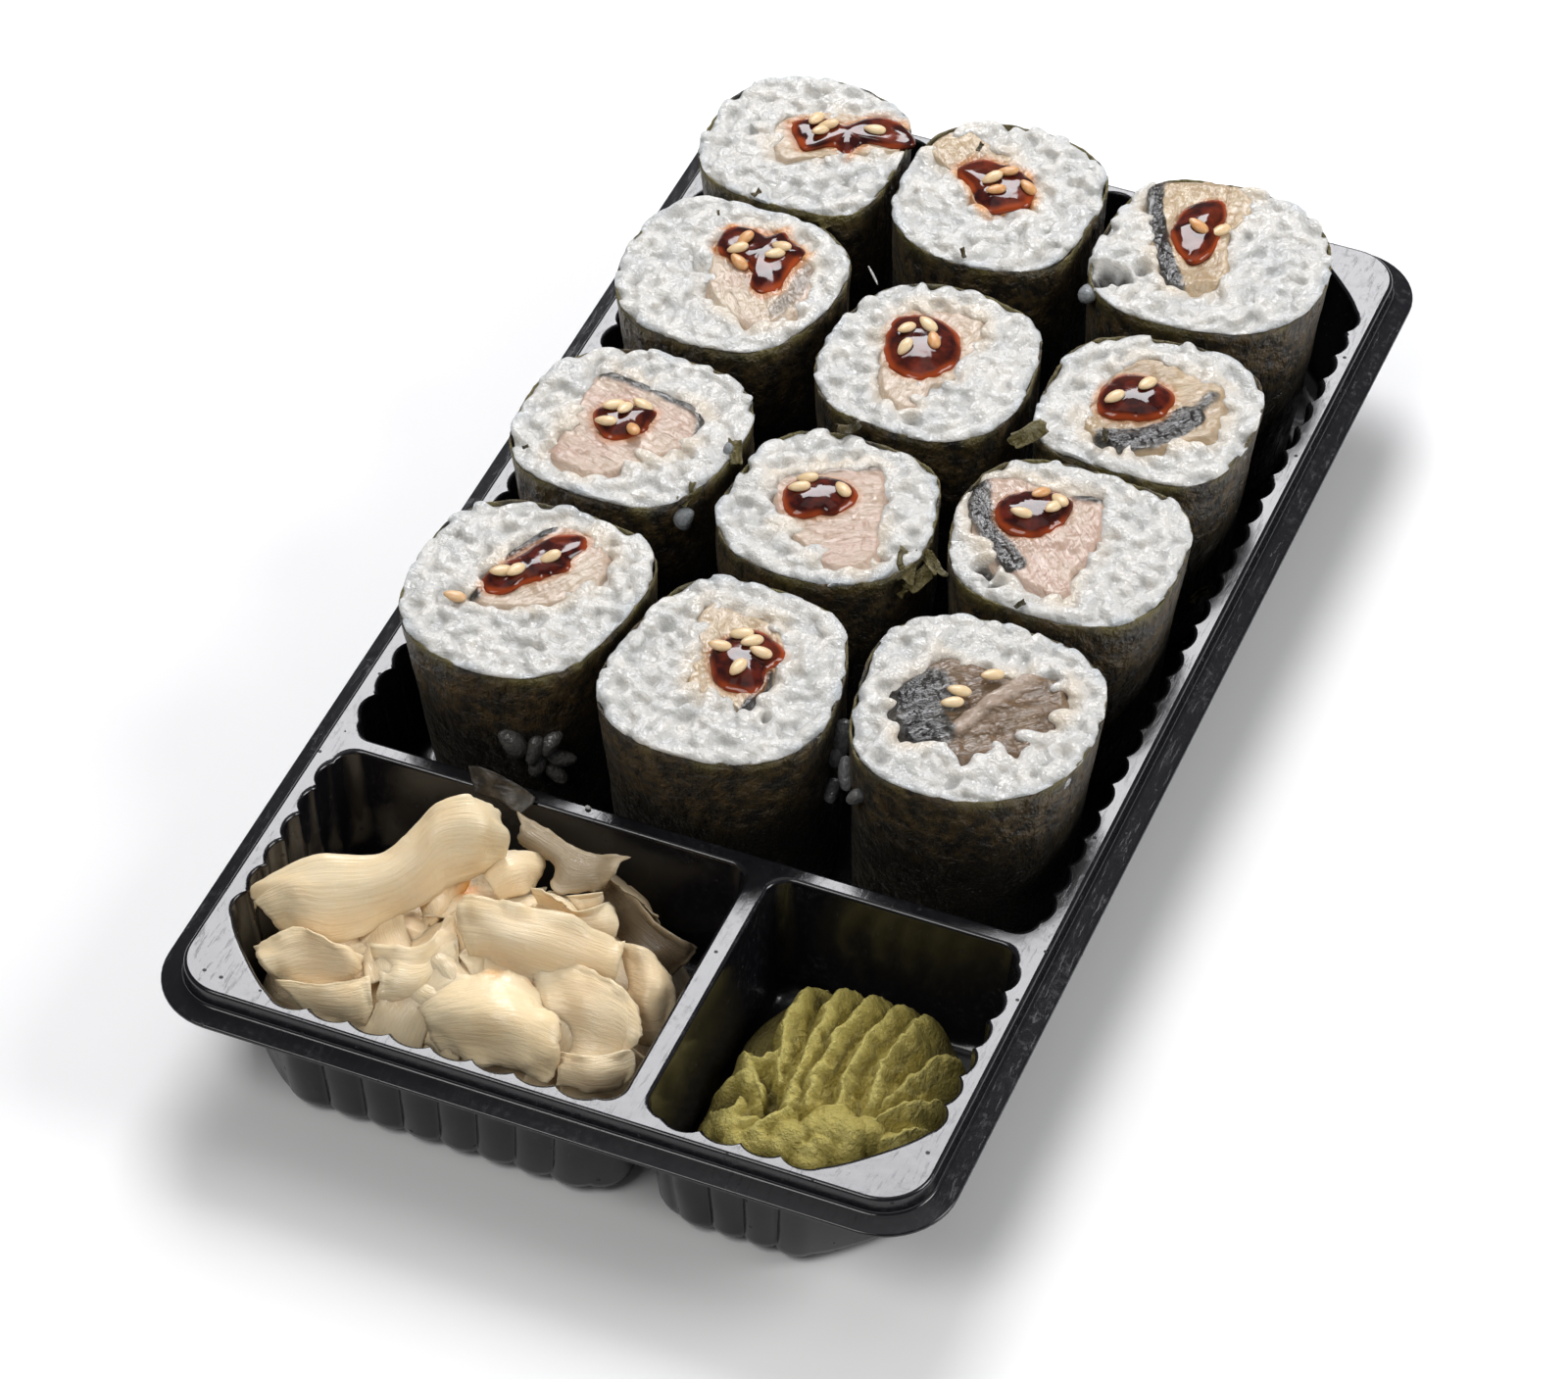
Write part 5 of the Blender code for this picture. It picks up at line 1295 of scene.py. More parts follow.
class SUSHI_OT_rice(bpy.types.Operator):
    """Pack grains into every cut face and melt them together, over a plain core"""

    bl_idname = "sushi.rice"
    bl_label = "Rice"

    tries = 6000
    columns = 96
    # Layers of grains: how far under the cut, their spacing's share, and the most grains in it
    layers = ((1.6, 1.0, None), (1.15, 0.9, None), (0.75, 2.2, 24))

    def execute(self, context):
        looks = context.scene.roll_looks
        self.length = looks.grain_length / MM
        self.width = looks.grain_width / MM
        self.spacing = looks.grain_spacing / MM
        self.voxel = looks.voxel
        self.unit = unit_grain()
        mat = rice_finish()
        for number, roll in enumerate(ROLLS):
            obj = self.melted(context, roll, number)
            obj.data.materials.append(mat)
            put(obj, "rice", roll.name + "_rice")
        self.strays(mat)
        return {"FINISHED"}

    def add_grain(self, builder, rng, at, spin, length, width, **values):
        points, faces = self.unit
        size = (length, width * rng.uniform(0.9, 1.1), width * rng.uniform(0.8, 0.95))
        spin = spin @ Matrix.Rotation(rng.uniform(0, 6.28), 3, "X")
        builder.add(points * size @ np.array(spin).T + tuple(at), faces, **values)

    def layer(self, builder, rng, roll, drop, spacing, limit):
        """Grains at random places, no two nearer than the spacing, along the sheet near it."""
        spread = np.random.RandomState(rng.randrange(10 ** 6))
        x = roll.x + spread.uniform(-21, 21, self.tries)
        y = roll.y + spread.uniform(-21, 21, self.tries)
        out, angles = roll.inside(x, y)
        clear = roll.flesh.reach(x, y) + 0.8 * noise(stacked(x, y, 0.0), 3.5, 17)
        chosen = []
        for i in np.nonzero((out > 0.75) & (clear > 0.1))[0]:
            if any((x[i] - a) ** 2 + (y[i] - b) ** 2 < spacing ** 2 for a, b in chosen):
                continue
            chosen.append((x[i], y[i]))
            if limit and len(chosen) > limit:
                break
            flow = 3.1 * float(noise(np.array([[x[i], y[i], 0.0]]), 7.0, 19)[0])
            turn = flow + rng.gauss(0, 0.6)
            if out[i] < 3.0:
                turn = angles[i] + math.pi / 2 + rng.gauss(0, 0.35)
            tilt = rng.gauss(0, 0.5 if rng.random() < 0.15 else 0.14)
            shoulder = 0.4 * float(clamp01(1 - (out[i] - 0.7) / 1.8)) ** 2
            z = roll.top - drop - shoulder + rng.uniform(-0.4, 0.3)
            spin = Matrix.Rotation(turn, 3, "Z") @ Matrix.Rotation(tilt, 3, "Y")
            self.add_grain(builder, rng, (x[i], y[i], z), spin, self.length * rng.uniform(0.55, 1.1),
                           self.width * rng.uniform(0.8, 1.12))

    def core(self, builder, roll, low, high, outer_gap, inner_gap, **values):
        """A plain ring of rice between two levels, closed all round."""
        angles = np.linspace(0, 2 * math.pi, self.columns, endpoint=False)
        rings = []
        for z, inner in ((low, False), (high, False), (high, True), (low, True)):
            level = (z - FLOOR_Z) / (roll.top - FLOOR_Z)
            x, y = roll.centre(level)
            if inner:
                size = roll.size(level)
                x, y = x + (roll.flesh.x - roll.x) * size, y + (roll.flesh.y - roll.y) * size
                radius = roll.flesh.radius(angles) * size + inner_gap
            else:
                radius = roll.outline(angles, level) - outer_gap
            rings.append(stacked(x + radius * np.cos(angles), y + radius * np.sin(angles), z))
            if inner:
                roll.hold(rings[-1], level, 1.2)
        builder.add(np.array(rings).reshape(-1, 3), tube_faces(4, self.columns), **values)

    def melted(self, context, roll, number):
        rng = random.Random(100 + number)
        heap = Builder()
        self.core(heap, roll, roll.top - 4.6, roll.top - 1.3, 0.6, 0.2)
        for drop, apart, limit in self.layers:
            self.layer(heap, rng, roll, drop, self.spacing * apart, limit)
        raw = heap.make(roll.name + "_raw")
        melt = raw.modifiers.new("melt", "REMESH")
        melt.mode = "VOXEL"
        melt.voxel_size = self.voxel
        soften = raw.modifiers.new("soften", "SMOOTH")
        soften.factor = 0.5
        soften.iterations = 2
        evaluated = raw.evaluated_get(context.evaluated_depsgraph_get())
        mesh = evaluated.to_mesh()
        points = np.empty(len(mesh.vertices) * 3, np.float32)
        mesh.vertices.foreach_get("co", points)
        points = points.reshape(-1, 3).astype(float) / MM
        faces = [tuple(polygon.vertices) for polygon in mesh.polygons]
        evaluated.to_mesh_clear()
        bpy.data.objects.remove(raw)
        return self.dressed(roll, points, faces)

    def dressed(self, roll, points, faces):
        """Drops the hidden underside, keeps grains inside the sheet, and notes where colours change."""
        out, angles = roll.inside(points[:, 0], points[:, 1])
        limit = roll.outline(angles, 1)
        rise = smooth_step((points[:, 2] - roll.top + 1.4) / 0.9)
        limit = limit - 1.0 + (0.68 + 0.22 * noise(points, 2.4, 129)) * rise
        radius = np.minimum(np.hypot(points[:, 0] - roll.x, points[:, 1] - roll.y), limit)
        points[:, 0] = roll.x + radius * np.cos(angles)
        points[:, 1] = roll.y + radius * np.sin(angles)
        cut = np.maximum(points[:, 2] - roll.top + 0.25, 0)
        points[:, 2] -= 0.7 * cut * cut / (cut + 0.3)
        points[:, 2] += (0.07 * rough(points, 1.7, 131) + 0.22 * noise(points, 6.5, 133)) * rise
        # patches of rice pressed down a little; they also get a little of the painted shade below
        worn = smooth_step((noise(points, 5.0, 137) - 0.3) / 0.5)
        points[:, 2] -= 0.35 * worn * rise
        hollow = np.zeros(len(points))
        for at, size, depth in roll.pits:
            near = smooth_step(1.25 - np.hypot(points[:, 0] - at.x, points[:, 1] - at.y) / size)
            points[:, 2] -= depth * near * rise
            hollow = np.maximum(hollow, near * min(depth / 3, 1))
        lowest = np.array([points[list(face), 2].max() for face in faces])
        keep = [face for face, top in zip(faces, lowest) if top > roll.top - 4.3]
        used = np.unique(np.concatenate([np.array(face) for face in keep]))
        index = np.full(len(points), -1)
        index[used] = np.arange(len(used))
        faces = [tuple(index[i] for i in face) for face in keep]
        points, hollow, worn = points[used], hollow[used], worn[used]
        out = roll.inside(points[:, 0], points[:, 1])[0]
        # painted shade: the rim value darkens the rice near the sheet, lower down under the cut and in the
        # sunk patches, standing in for shade
        deep = clamp01((roll.top - 0.7 - points[:, 2]) / 2.5)
        rim = smooth_step(1 - (out - 0.1) / 2.4) * clamp01(0.45 + 0.9 * noise(points, 5.0, 141))
        rim = clamp01(0.75 * rim + 0.3 * deep + 0.12 * worn)
        clear = roll.flesh.reach(points[:, 0], points[:, 1])
        warm = smooth_step(1 - clear / 3.5) * clamp01(0.6 + noise(points, 4.0, 143))
        whole = Builder()
        # painted shade: the gap value darkens the deepest pits, standing in for the shade inside them
        whole.add(points, faces, rim=rim, warm=warm, stain=self.stained(roll, points),
                  gap=smooth_step((hollow - 0.35) / 0.6))
        # painted shade: the hidden core below the grains gets half of the rim's painted shade
        self.core(whole, roll, FLOOR_Z, roll.top - 3.6, 0.9, 0.3, rim=0.5, gap=0.0)
        return whole.make(roll.name + "_grains")

    def stained(self, roll, points):
        if not roll.pool:
            return 0.0
        away = roll.pool.reach(points[:, 0], points[:, 1])
        patchy = clamp01(0.6 + 0.9 * noise(points, 2.2, 31))
        return clamp01(smooth_step(1 - away / (0.5 + 1.6 * roll.stain)) * patchy * (0.3 + 0.7 * roll.stain))

    def strays(self, mat):
        """Loose grains stuck to the sheets, a crumb on the tray, and the fine bone."""
        rng = random.Random(11)
        loose = Builder()
        # painted shade: loose grains lie in the shade between the rolls, so each gets the full rim shade
        # and a painted darkening from its table value
        for pixel_x, pixel_y, size, dim in STRAY_GRAINS:
            at, facing = Picture.touch(pixel_x, pixel_y)
            first = facing.orthogonal().normalized()
            spin = Matrix((first, facing.cross(first), facing)).transposed()
            spin = spin @ Matrix.Rotation(rng.uniform(0, math.pi), 3, "Z")
            self.add_grain(loose, rng, at + facing * 0.4, spin, self.length * size * rng.uniform(0.5, 0.8),
                           self.width * size * rng.uniform(0.8, 1.05), rim=1.0, gap=dim)
        at = Picture.place(*CRUMB, TRAY_HEIGHT + 0.25)
        self.add_grain(loose, rng, at, Matrix.Identity(3), 0.9, 0.7, rim=0.1, gap=0.0)
        foot, tip = (Vector(Picture.place(*end)) for end in BONE)
        spin = (tip - foot).to_track_quat("X", "Z").to_matrix()
        self.add_grain(loose, rng, (foot + tip) / 2, spin, (tip - foot).length, 0.38, rim=0.0, gap=0.0)
        put(loose.make("loose_grains", mat), "rice")


class SUSHI_OT_fillings(bpy.types.Operator):
    """Make the fish in every roll, its cut end in fibres, with its skin where it shows"""

    bl_idname = "sushi.fillings"
    bl_label = "Fillings"

    columns = 110
    rings = 34

    def execute(self, context):
        mat = fish_finish()
        for roll in ROLLS:
            fish = Builder()
            along = self.fish(fish, roll)
            obj = fish.make(roll.name + "_fish", mat)
            add_places(obj.data, "along", along)
            put(obj, "fish", roll.name + "_filling")
        return {"FINISHED"}

    def fish(self, builder, roll):
        angles = np.linspace(0, 2 * math.pi, self.columns, endpoint=False)
        patch = roll.flesh
        edge = patch.radius(angles) + 0.7
        shares = np.arange(1, self.rings + 1) / self.rings
        points = stacked(*disc_places(patch.x, patch.y, shares, edge, angles), roll.top)
        share = np.concatenate([[0], np.repeat(shares, self.columns)])
        dx, dy = points[:, 0] - patch.x, points[:, 1] - patch.y
        along = dx * math.cos(roll.grain) + dy * math.sin(roll.grain)
        across = dy * math.cos(roll.grain) - dx * math.sin(roll.grain)
        local = stacked(along * 0.35, across, 0.0) + (roll.x, roll.y, 0)
        points[:, 2] += roll.relief * (0.6 * rough(local, 2.2, 41, 4) + 0.5 * rough(points, 5.0, 47, 2))
        points[:, 2] += 0.14 * rough(points * (1, 1, 0), 1.1, 53, 2)
        points[:, 2] -= 0.40 + 1.2 * smooth_step((share - 0.86) / 0.14)
        skin, fat = np.zeros(len(points)), np.zeros(len(points))
        for line, width, dark in roll.skins:
            away = distance_to(catmull(line, 5), points[:, 0], points[:, 1])
            band = smooth_step((width - away + 0.25 * noise(points, 1.4, 61)) / 0.35)
            ridge = clamp01(1 - (away / width) ** 2) ** 0.5 * band
            points[:, 2] += (0.15 if dark else 0.8) * ridge
            streaky = clamp01(0.95 + 0.2 * noise(points * (1, 1, 0), 2.6, 67) - 0.45 * (away / width))
            skin = np.maximum(skin, band * dark * streaky)
            fat = np.maximum(fat, band * (dark == 0))
        stain = np.zeros(len(points))
        if roll.pool:
            away = roll.pool.reach(points[:, 0], points[:, 1])
            stain = smooth_step(1 - away / (0.6 + 1.1 * roll.stain)) * (0.35 + 0.5 * roll.stain)
            points[:, 2] = np.minimum(points[:, 2], roll.top - 0.1 + 0.3 * clamp01(away))
        foot_x, foot_y = roll.centre(0)
        foot_x, foot_y = foot_x + (patch.x - roll.x) * FOOT_SIZE, foot_y + (patch.y - roll.y) * FOOT_SIZE
        foot = patch.radius(angles) * FOOT_SIZE
        low = stacked(foot_x + foot * np.cos(angles), foot_y + foot * np.sin(angles), FLOOR_Z)
        tone = np.clip(roll.tone + 0.25 * noise(points, 4.0, 51), 0, 2)
        roll.hold(points, 1, 1.4)
        roll.hold(low, 0, 1.4)
        add_solid_disc(builder, self.rings, self.columns, points, low, skin=skin, fat=fat, stain=stain,
                       tone=tone)
        return np.concatenate([stacked(along, across, points[:, 2]), low])


class SUSHI_OT_sauce(bpy.types.Operator):
    """Pour a thick, glossy pool of sauce on every roll but one"""

    bl_idname = "sushi.sauce"
    bl_label = "Sauce"

    columns = 120
    rings = 18

    def execute(self, context):
        mat = sauce_finish()
        for roll in ROLLS:
            if roll.pool:
                pool = Builder()
                self.pool(pool, roll)
                put(pool.make(roll.name + "_pool", mat), "sauce", roll.name + "_sauce")
        return {"FINISHED"}

    def pool(self, builder, roll):
        patch = roll.pool
        angles = np.linspace(0, 2 * math.pi, self.columns, endpoint=False)
        around = stacked(patch.x + 4 * np.cos(angles), patch.y + 4 * np.sin(angles), 0.0)
        edge = patch.radius(angles) + 0.22 * rough(around, 1.6, 71, 2)
        shares = np.arange(1, self.rings + 1) / self.rings
        x, y = disc_places(patch.x, patch.y, shares, edge, angles)
        share = np.concatenate([[0], np.repeat(shares, self.columns)])
        dome = (1 - share ** 2.2) ** 0.75
        ripple = 0.34 * noise(stacked(x, y, 0.0), 3.0, 77) * (1.5 - roll.pool_height)
        z = roll.top - 0.25 + (roll.pool_height + 0.25) * dome + ripple * dome
        under = stacked(x[-self.columns:], y[-self.columns:], roll.top - 1.0)
        patchy = clamp01(0.55 + 0.8 * noise(stacked(x, y, 0.0), 2.2, 79))
        shallow = 1.5 - roll.pool_height
        thin = clamp01(smooth_step((share - 0.80) / 0.20) * (0.4 + patchy) + 0.9 * shallow * (patchy - 0.6))
        add_solid_disc(builder, self.rings, self.columns, stacked(x, y, z), under, thin=thin)


class SUSHI_OT_sesame(bpy.types.Operator):
    """Scatter the sesame seeds where they lie on the sauce, the fish and the rice"""

    bl_idname = "sushi.sesame"
    bl_label = "Sesame"

    def execute(self, context):
        length = context.scene.roll_looks.seed_length / MM
        rng = random.Random(5)
        seeds = Builder()
        for roll in ROLLS:
            for seed_x, seed_y, degrees in roll.seeds:
                x, y = roll.x + roll.middle[0] + seed_x, roll.y + roll.middle[1] + seed_y
                height = roll.top + (float(roll.pool_dome(x, y)) if roll.pool else 0.6)
                toast = 0.9 if rng.random() < 0.25 else rng.uniform(0, 0.2)
                self.seed(seeds, rng, (x, y, height + 0.25), math.radians(degrees), length, toast)
        for pixel_x, pixel_y, degrees in SEEDS_ON_RICE:
            at = Picture.place(pixel_x, pixel_y, ROLL_TOP + 0.5)
            self.seed(seeds, rng, at, math.radians(degrees), length, 0.5)
        put(seeds.make("sesame_seeds", sesame_finish()), "sauce")
        return {"FINISHED"}

    def seed(self, seeds, rng, at, turn, length, toast):
        """A flattened drop, round at one end and pointed at the other."""
        points, faces = unit_grain(14, 11)
        along = points[:, 0] + 0.5
        taper = 0.62 + 0.75 * along - 0.42 * along ** 2
        points = points * (1, 0.64, 0.38)
        points[:, 1] -= 0.16 * 0.64 * ((along - 0.5) ** 2 * 4 - 0.4)
        points[:, 1:] *= taper[:, None]
        spin = Matrix.Rotation(turn, 3, "Z") @ Matrix.Rotation(rng.uniform(-0.25, 0.25), 3, "Y")
        placed = points * length * rng.uniform(0.94, 1.06) @ np.array(spin).T + tuple(at)
        seeds.add(placed, faces, toast=toast, tip=smooth_step(1 - along / 0.28))


def keep_in_well(points, x0, x1, y0, y1, cut, margin):
    """Holds points inside a well, off its cut front corner at x0 (cut 0) or x1 (cut 1)."""
    points[:, 0] = np.clip(points[:, 0], x0 + margin, x1 - margin)
    points[:, 1] = np.clip(points[:, 1], y0 + margin, y1 - margin)
    aside = x1 - points[:, 0] if cut else points[:, 0] - x0
    push = np.maximum(OUTER_CHAMFER - aside - (points[:, 1] - y0) + 1.4 * margin, 0) / 2
    points[:, 0] += -push if cut else push
    points[:, 1] += push
    return points


class SUSHI_OT_ginger(bpy.types.Operator):
    """Fold the slices of pickled ginger over each other on their heap"""

    bl_idname = "sushi.ginger"
    bl_label = "Pickled ginger"

    steps = 10
    core_rings = 40
    core_columns = 110

    def execute(self, context):
        self.heap = Builder()
        self.along = []
        self.core()
        self.fill(context.scene.side_looks.fillers)
        for number, (tone, rows) in enumerate(GINGER_SLICES):
            guides = np.array([[tuple(Picture.place(*guide)) for guide in row] for row in rows])
            smoother = 0.45 if len(rows) > 4 else 1.0
            self.slice(number, tone if tone > 0.6 else tone * 0.4, guides, GINGER_THICKNESS, smoother)
        obj = self.heap.make("ginger_slices", ginger_finish())
        add_places(obj.data, "along", np.concatenate(self.along))
        put(obj, "pickled_ginger", "ginger")
        return {"FINISHED"}

    def ground(self, x, y):
        """The height of the heap's core."""
        middle_x, middle_y, half_x, half_y = GINGER_CORE
        share = (abs((x - middle_x) / half_x) ** GINGER_CORE_SQUARE
                 + abs((y - middle_y) / half_y) ** GINGER_CORE_SQUARE) ** (1 / GINGER_CORE_SQUARE)
        height = (GINGER_CORE_TOP - FLOOR_Z) * np.maximum(1 - share ** 4, 0) ** 0.6
        bumps = 1.5 * abs(rough(stacked(x, y * 1.6, 0.0), 9.0, 81, 3)) - 0.8
        right = smooth_step((x - 1) / 10)
        return FLOOR_Z + height * (1 - 0.25 * right) + bumps * clamp01(height / 6)

    def core(self):
        x, y, half_x, half_y = GINGER_CORE
        angles = np.linspace(0, 2 * math.pi, self.core_columns, endpoint=False)
        square = ((abs(np.cos(angles)) / half_x) ** GINGER_CORE_SQUARE
                  + (abs(np.sin(angles)) / half_y) ** GINGER_CORE_SQUARE) ** (-1 / GINGER_CORE_SQUARE)
        shares = (np.arange(1, self.core_rings + 1) / self.core_rings) ** 0.8
        x, y = disc_places(x, y, shares, square, angles)
        points = self.kept(stacked(x, y, np.maximum(self.ground(x, y), FLOOR_Z)))
        fade = smooth_step(points[:, 0] / 10)
        self.heap.add(points, disc_faces(self.core_rings, self.core_columns), tone=0.10 + 0.6 * fade,
                      spot=0.0, clear=0.0)
        self.along.append(points)

    def fill(self, count):
        """Small curled slices between the named ones, lying on the core."""
        rng = random.Random(23)
        for number in range(count):
            x, y = rng.uniform(-46, 6), rng.uniform(-93, -60)
            turn, size = rng.uniform(0, 2 * math.pi), rng.uniform(5, 9)
            first = np.array((math.cos(turn), math.sin(turn)))
            second = np.array((-first[1], first[0]))
            rows = []
            for u in (-1, -0.4, 0.4, 1):
                row = []
                for v in (-1, 0, 1):
                    place = np.array((x, y)) + first * u * size + second * v * size * 0.55
                    height = float(self.ground(*place)) + 1.2 - 0.8 * v * v + rng.uniform(-0.3, 0.7)
                    row.append((*place, max(height, 3)))
                rows.append(row)
            tone = rng.uniform(0.0, 0.25) + 0.7 * (x > -4) * (y > -77)
            self.slice(100 + number, tone, np.array(rows), 0.7, gentle=0.6)

    def kept(self, points):
        margin = np.where(points[:, 2] > TRAY_HEIGHT - 0.5, 0.2, 1.2)
        return keep_in_well(points, -WELL_HALF_X, GINGER_RIGHT_X, -WELL_HALF_Y, SMALL_BACK_Y, 0, margin)

    def slice(self, number, tone, guides, thickness, gentle=1.0):
        middle = catmull(guides, self.steps)
        grid = catmull(middle.transpose(1, 0, 2), self.steps).transpose(1, 0, 2)
        rows, columns = grid.shape[:2]
        u = np.linspace(0, 1, rows)[:, None]
        v = np.linspace(0, 1, columns)[None, :]
        edge = np.minimum(np.minimum(u, 1 - u), np.minimum(v, 1 - v)) * 2
        loose = 1 - smooth_step(edge / 0.45)
        flat = grid.reshape(-1, 3)
        centre = flat.mean(axis=0)
        ragged = 0.08 * gentle * rough(flat, 2.4, 181 + number, 3).reshape(rows, columns) * loose
        grid = grid + (grid - centre) * ragged[..., None]
        frill = rough(flat, 2.8, 91 + number, 3).reshape(rows, columns)
        sway = noise(flat * (1, 1, 0.4), 7.0, 95 + number).reshape(rows, columns)
        curl = clamp01(noise(flat, 6.0, 97 + number) + 0.3).reshape(rows, columns)
        offset = gentle * (frill * (0.12 + 0.55 * loose) + 1.1 * sway + 1.5 * curl * loose)
        grid = grid + self.normals(grid) * offset[..., None]
        half = thickness * (0.20 + 0.80 * smooth_step(edge / 0.35))[..., None] / 2
        normals = self.normals(grid)
        upper = self.kept((grid + normals * half).reshape(-1, 3))
        lower = self.kept((grid - normals * half).reshape(-1, 3))
        along = stacked(u * 25 + number * 40, v * 14, 0.0).reshape(-1, 3)
        clear = 0.35 * (1 - smooth_step(edge / 0.25)) * (0.4 + tone)
        spot = self.spots(np.concatenate([upper, lower]))
        add_leaf(self.heap, upper, lower, rows, columns, tone=tone, spot=spot,
                 clear=np.tile(clear.reshape(-1), 2))
        self.along.append(np.concatenate([along, along]))

    def normals(self, grid):
        across = np.cross(np.gradient(grid, axis=0), np.gradient(grid, axis=1))
        normal = across / np.maximum(np.linalg.norm(across, axis=-1, keepdims=True), 1e-9)
        return normal * np.where((normal @ np.array(Picture.back)) < 0, -1, 1)[..., None]

    def spots(self, points):
        total = np.zeros(len(points))
        for pixel_x, pixel_y, height, size in GINGER_SPOTS:
            at = np.array(Picture.place(pixel_x, pixel_y, height))
            total += np.exp(-((np.linalg.norm(points - at, axis=1) / size) ** 2))
        return clamp01(total)


class SUSHI_OT_paste(bpy.types.Operator):
    """Press the green paste into its ridges and lumps"""

    bl_idname = "sushi.paste"
    bl_label = "Green paste"

    columns = 290
    rings = 110
    lump_share = 0.78

    def execute(self, context):
        crests = [np.array([tuple(Picture.place(*guide)) for guide in crest]) for crest in PASTE_CRESTS]
        lumps = [(Picture.place(x, y, height), radius * self.lump_share)
                 for x, y, radius, height in PASTE_LUMPS]
        angles = np.linspace(0, 2 * math.pi, self.columns, endpoint=False)
        around = stacked(np.cos(angles) * 12, np.sin(angles) * 12, 0.0)
        edge = ((abs(np.cos(angles)) / PASTE_HALF[0]) ** 3
                + (abs(np.sin(angles)) / PASTE_HALF[1]) ** 3) ** (-1 / 3)
        edge = edge + 0.8 * rough(around, 6.0, 101, 3)
        shares = (np.arange(1, self.rings + 1) / self.rings) ** 0.8
        points = stacked(*disc_places(*PASTE_MIDDLE, shares, edge, angles), 0.0)
        share = np.concatenate([[0], np.repeat(shares, self.columns)])
        height, crest, valley = self.height(points, crests, lumps)
        wall = (1 - share ** 10) ** 0.5
        grainy = 0.22 * rough(points, 1.1, 111, 2) + 0.4 * rough(points, 3.2, 117, 2)
        points[:, 2] = FLOOR_Z + np.maximum(height + grainy - FLOOR_Z, 0.3) * wall
        margin = 1.1 + 2.0 * clamp01((3 - points[:, 2]) / 3)
        points = keep_in_well(points, WASABI_LEFT_X, WELL_HALF_X, -WELL_HALF_Y, SMALL_BACK_Y, 1, margin)
        paste = Builder()
        # painted light: the crest value carries the painted highlights and the valley value the painted
        # shade
        paste.add(points, disc_faces(self.rings, self.columns), crest=crest * wall, valley=valley)
        put(paste.make("paste_ridges", paste_finish()), "green_paste", "wasabi")
        return {"FINISHED"}

    def height(self, points, crests, lumps):
        """The highest crest, lump or ground over each point, how near its crest is, for a painted
        highlight, and how far it lies below the top it falls from, for painted shade.
        """
        height = np.full(len(points), 6.6)
        top = height.copy()
        # painted highlight: this rises near each crest line and lump top, where light catches the paste
        crest_near = np.zeros(len(points))
        wander = 0.5 * rough(points, 1.7, 151, 2)
        for crest in crests:
            line = catmull(crest, 6)
            best = np.full(len(points), 1e9)
            level = np.zeros(len(points))
            aside = np.zeros(len(points))
            for a, b in zip(line, line[1:]):
                run = b[:2] - a[:2]
                length = np.hypot(*run)
                share = clamp01(((points[:, :2] - a[:2]) @ run) / length ** 2)
                offset = points[:, :2] - a[:2] - share[:, None] * run
                distance = np.hypot(*offset.T)
                side = run[0] * offset[:, 1] - run[1] * offset[:, 0]
                nearer = distance < best
                best = np.where(nearer, distance, best)
                level = np.where(nearer, a[2] + (b[2] - a[2]) * share, level)
                aside = np.where(nearer, side, aside)
            best = np.maximum(best + wander * np.sign(aside), 0)
            slope = np.where(aside > 0, 3.0, 1.35)
            side = level - slope * (np.sqrt(best ** 2 + 0.06) - 0.24)
            top = np.where(side > height, level, top)
            height = np.maximum(height, side)
            crest_near = np.maximum(crest_near, smooth_step(1 - best / 1.1))
        for at, radius in lumps:
            distance = np.hypot(points[:, 0] - at.x, points[:, 1] - at.y)
            bulge = at.z + 0.7 - radius + np.sqrt(np.maximum(radius ** 2 - distance ** 2, 0))
            height = np.maximum(height, np.where(distance < radius, bulge, 0))
            top = np.where(bulge >= height, bulge, top)
            crest_near = np.maximum(crest_near, 0.6 * smooth_step(1 - distance / radius / 0.8))
        return height, crest_near, smooth_step((top - height - 0.4) / 2.8)


class SUSHI_OT_scraps(bpy.types.Operator):
    """Lay the shred of fish skin over the divider"""

    bl_idname = "sushi.scraps"
    bl_label = "Scraps"

    def execute(self, context):
        guides = np.array([[tuple(Picture.place(*guide)) for guide in row] for row in SCRAP_GUIDES])
        grid = catmull(guides, 12)
        grid = catmull(grid.transpose(1, 0, 2), 10).transpose(1, 0, 2)
        rows, columns = grid.shape[:2]
        flat = grid.reshape(-1, 3)
        upper = flat + (0.35 * rough(flat, 2.0, 121, 3))[:, None] * (0.6, -0.4, 1.0)
        scrap = Builder()
        add_leaf(scrap, upper, upper - (0, 0, 0.3), rows, columns)
        put(scrap.make("skin_shred", scrap_finish()), "fish_skin", "skin_scrap")
        return {"FINISHED"}


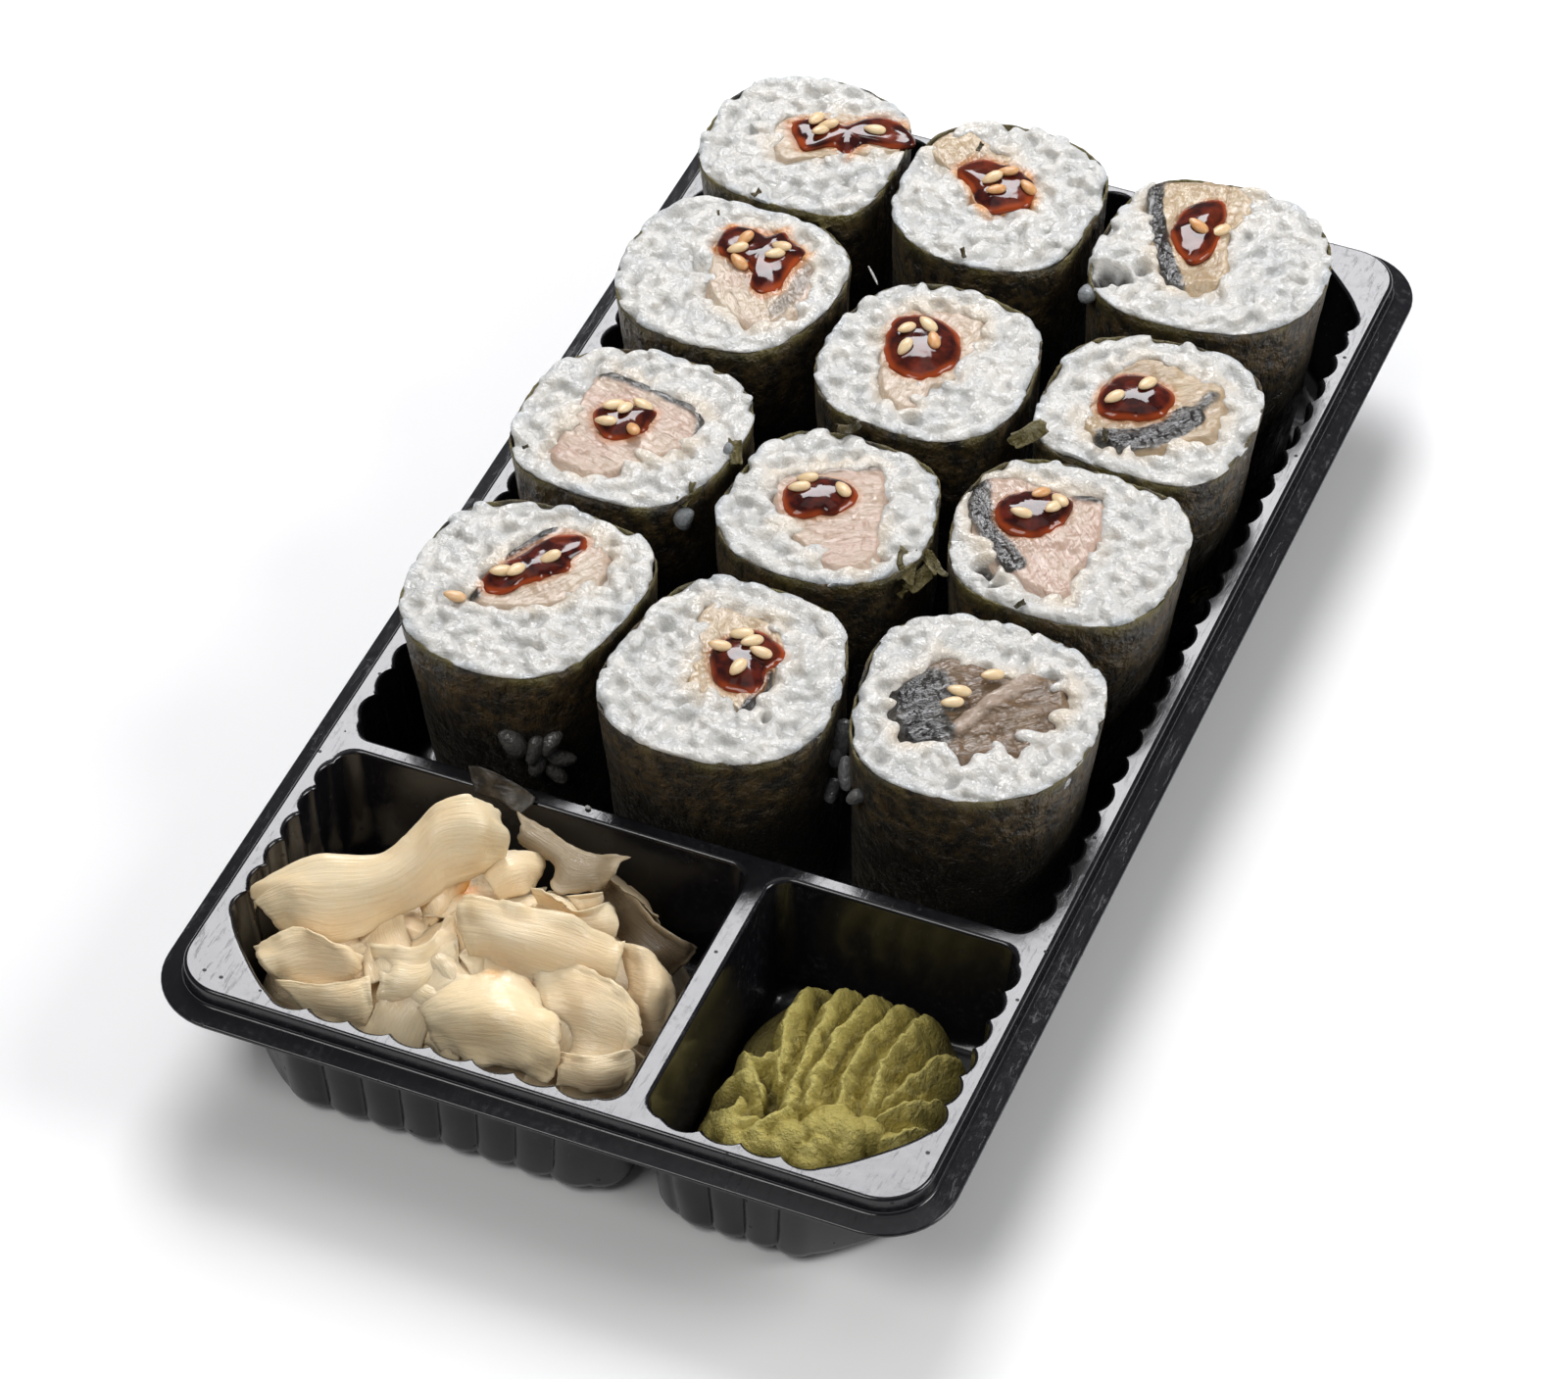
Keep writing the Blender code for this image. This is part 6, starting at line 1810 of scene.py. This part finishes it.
class SUSHI_OT_stage(bpy.types.Operator):
    """Lay the pale floor and set the camera and the soft studio lights"""

    bl_idname = "sushi.stage"
    bl_label = "Stage"

    floor_half = 3.0
    floor_drop = 0.0003
    world_strength = 0.14

    def execute(self, context):
        scene = context.scene
        half = self.floor_half
        mesh = bpy.data.meshes.new("floor")
        mesh.from_pydata([(-half, -half, 0), (half, -half, 0), (half, half, 0), (-half, half, 0)], [],
                         [(0, 1, 2, 3)])
        mesh.materials.append(floor_finish())
        floor = bpy.data.objects.new("floor", mesh)
        floor.location.z = -self.floor_drop
        scene.collection.objects.link(floor)
        camera = bpy.data.cameras.new("camera")
        camera.sensor_width = SENSOR
        camera.lens = FOCAL_PIXELS / PICTURE_WIDTH * SENSOR
        camera.clip_end = 20
        eye = bpy.data.objects.new("camera", camera)
        turned = Matrix((Picture.right, Picture.up, Picture.back)).transposed()
        eye.matrix_world = Matrix.Translation(Picture.eye * MM) @ turned.to_4x4()
        scene.collection.objects.link(eye)
        scene.camera = eye
        for light in LIGHTS:
            self.light(scene, *light)
        world = bpy.data.worlds.new("studio")
        world.use_nodes = True
        world.node_tree.nodes["Background"].inputs["Color"].default_value = (0.95, 0.96, 1.0, 1)
        world.node_tree.nodes["Background"].inputs["Strength"].default_value = self.world_strength
        scene.world = world
        scene.view_settings.view_transform = "Standard"
        return {"FINISHED"}

    def light(self, scene, name, azimuth, elevation, distance, size, power, colour):
        lamp = bpy.data.lights.new(name, "AREA")
        lamp.shape = "RECTANGLE"
        lamp.size, lamp.size_y = size
        lamp.energy = power
        lamp.color = colour
        obj = bpy.data.objects.new(name, lamp)
        azimuth, elevation = math.radians(azimuth), math.radians(elevation)
        away = Vector((math.sin(azimuth) * math.cos(elevation),
                       -math.cos(azimuth) * math.cos(elevation), math.sin(elevation)))
        obj.location = away * distance
        obj.rotation_mode = "QUATERNION"
        obj.rotation_quaternion = away.to_track_quat("Z", "Y")
        scene.collection.objects.link(obj)


# Lights: name, azimuth, elevation, distance in metres, size in metres, power in watts, colour
LIGHTS = (
    ("back_softbox", 202, 46, 1.1, (0.56, 0.46), 9.6, (0.97, 0.97, 1.0)),
    ("top_softbox", 160, 80, 1.5, (1.0, 1.0), 1.4, (1.0, 1.0, 1.0)),
    ("right_softbox", 105, 35, 1.2, (0.5, 0.5), 6.4, (1.0, 1.0, 1.0)),
    ("front_softbox", -25, 55, 2.4, (1.1, 1.1), 20.0, (1.0, 0.99, 0.97)),
)


class SUSHI_PT_panel(bpy.types.Panel):
    """Lists the sizes, the colours and the steps of the sushi tray"""

    bl_label = "Sushi tray"
    bl_idname = "SUSHI_PT_panel"
    bl_space_type = "VIEW_3D"
    bl_region_type = "UI"
    bl_category = "Sushi tray"

    def draw(self, context):
        column = self.layout.column()
        for group in (context.scene.tray_sizes, context.scene.roll_looks, context.scene.side_looks):
            for key in group.bl_rna.properties.keys():
                if key not in ("rna_type", "name"):
                    column.prop(group, key)
        for step in STEPS:
            column.operator(step.bl_idname)


GROUPS = {"tray_sizes": TraySizes, "roll_looks": RollLooks, "side_looks": SideLooks}
STEPS = (SUSHI_OT_stage, SUSHI_OT_tray, SUSHI_OT_seaweed, SUSHI_OT_rice, SUSHI_OT_fillings,
         SUSHI_OT_sauce, SUSHI_OT_sesame, SUSHI_OT_ginger, SUSHI_OT_paste, SUSHI_OT_scraps)


def register():
    for made in (*GROUPS.values(), *STEPS, SUSHI_PT_panel):
        bpy.utils.register_class(made)
    for name, group in GROUPS.items():
        setattr(bpy.types.Scene, name, PointerProperty(type=group))


def unregister():
    for name in GROUPS:
        delattr(bpy.types.Scene, name)
    for made in reversed((*GROUPS.values(), *STEPS, SUSHI_PT_panel)):
        bpy.utils.unregister_class(made)


def main():
    register()
    make_groups()
    bpy.ops.sushi.stage()
    bpy.ops.sushi.tray()
    bpy.ops.sushi.seaweed()
    bpy.ops.sushi.rice()
    bpy.ops.sushi.fillings()
    bpy.ops.sushi.sauce()
    bpy.ops.sushi.sesame()
    bpy.ops.sushi.ginger()
    bpy.ops.sushi.paste()
    bpy.ops.sushi.scraps()


if __name__ == "__main__":
    main()
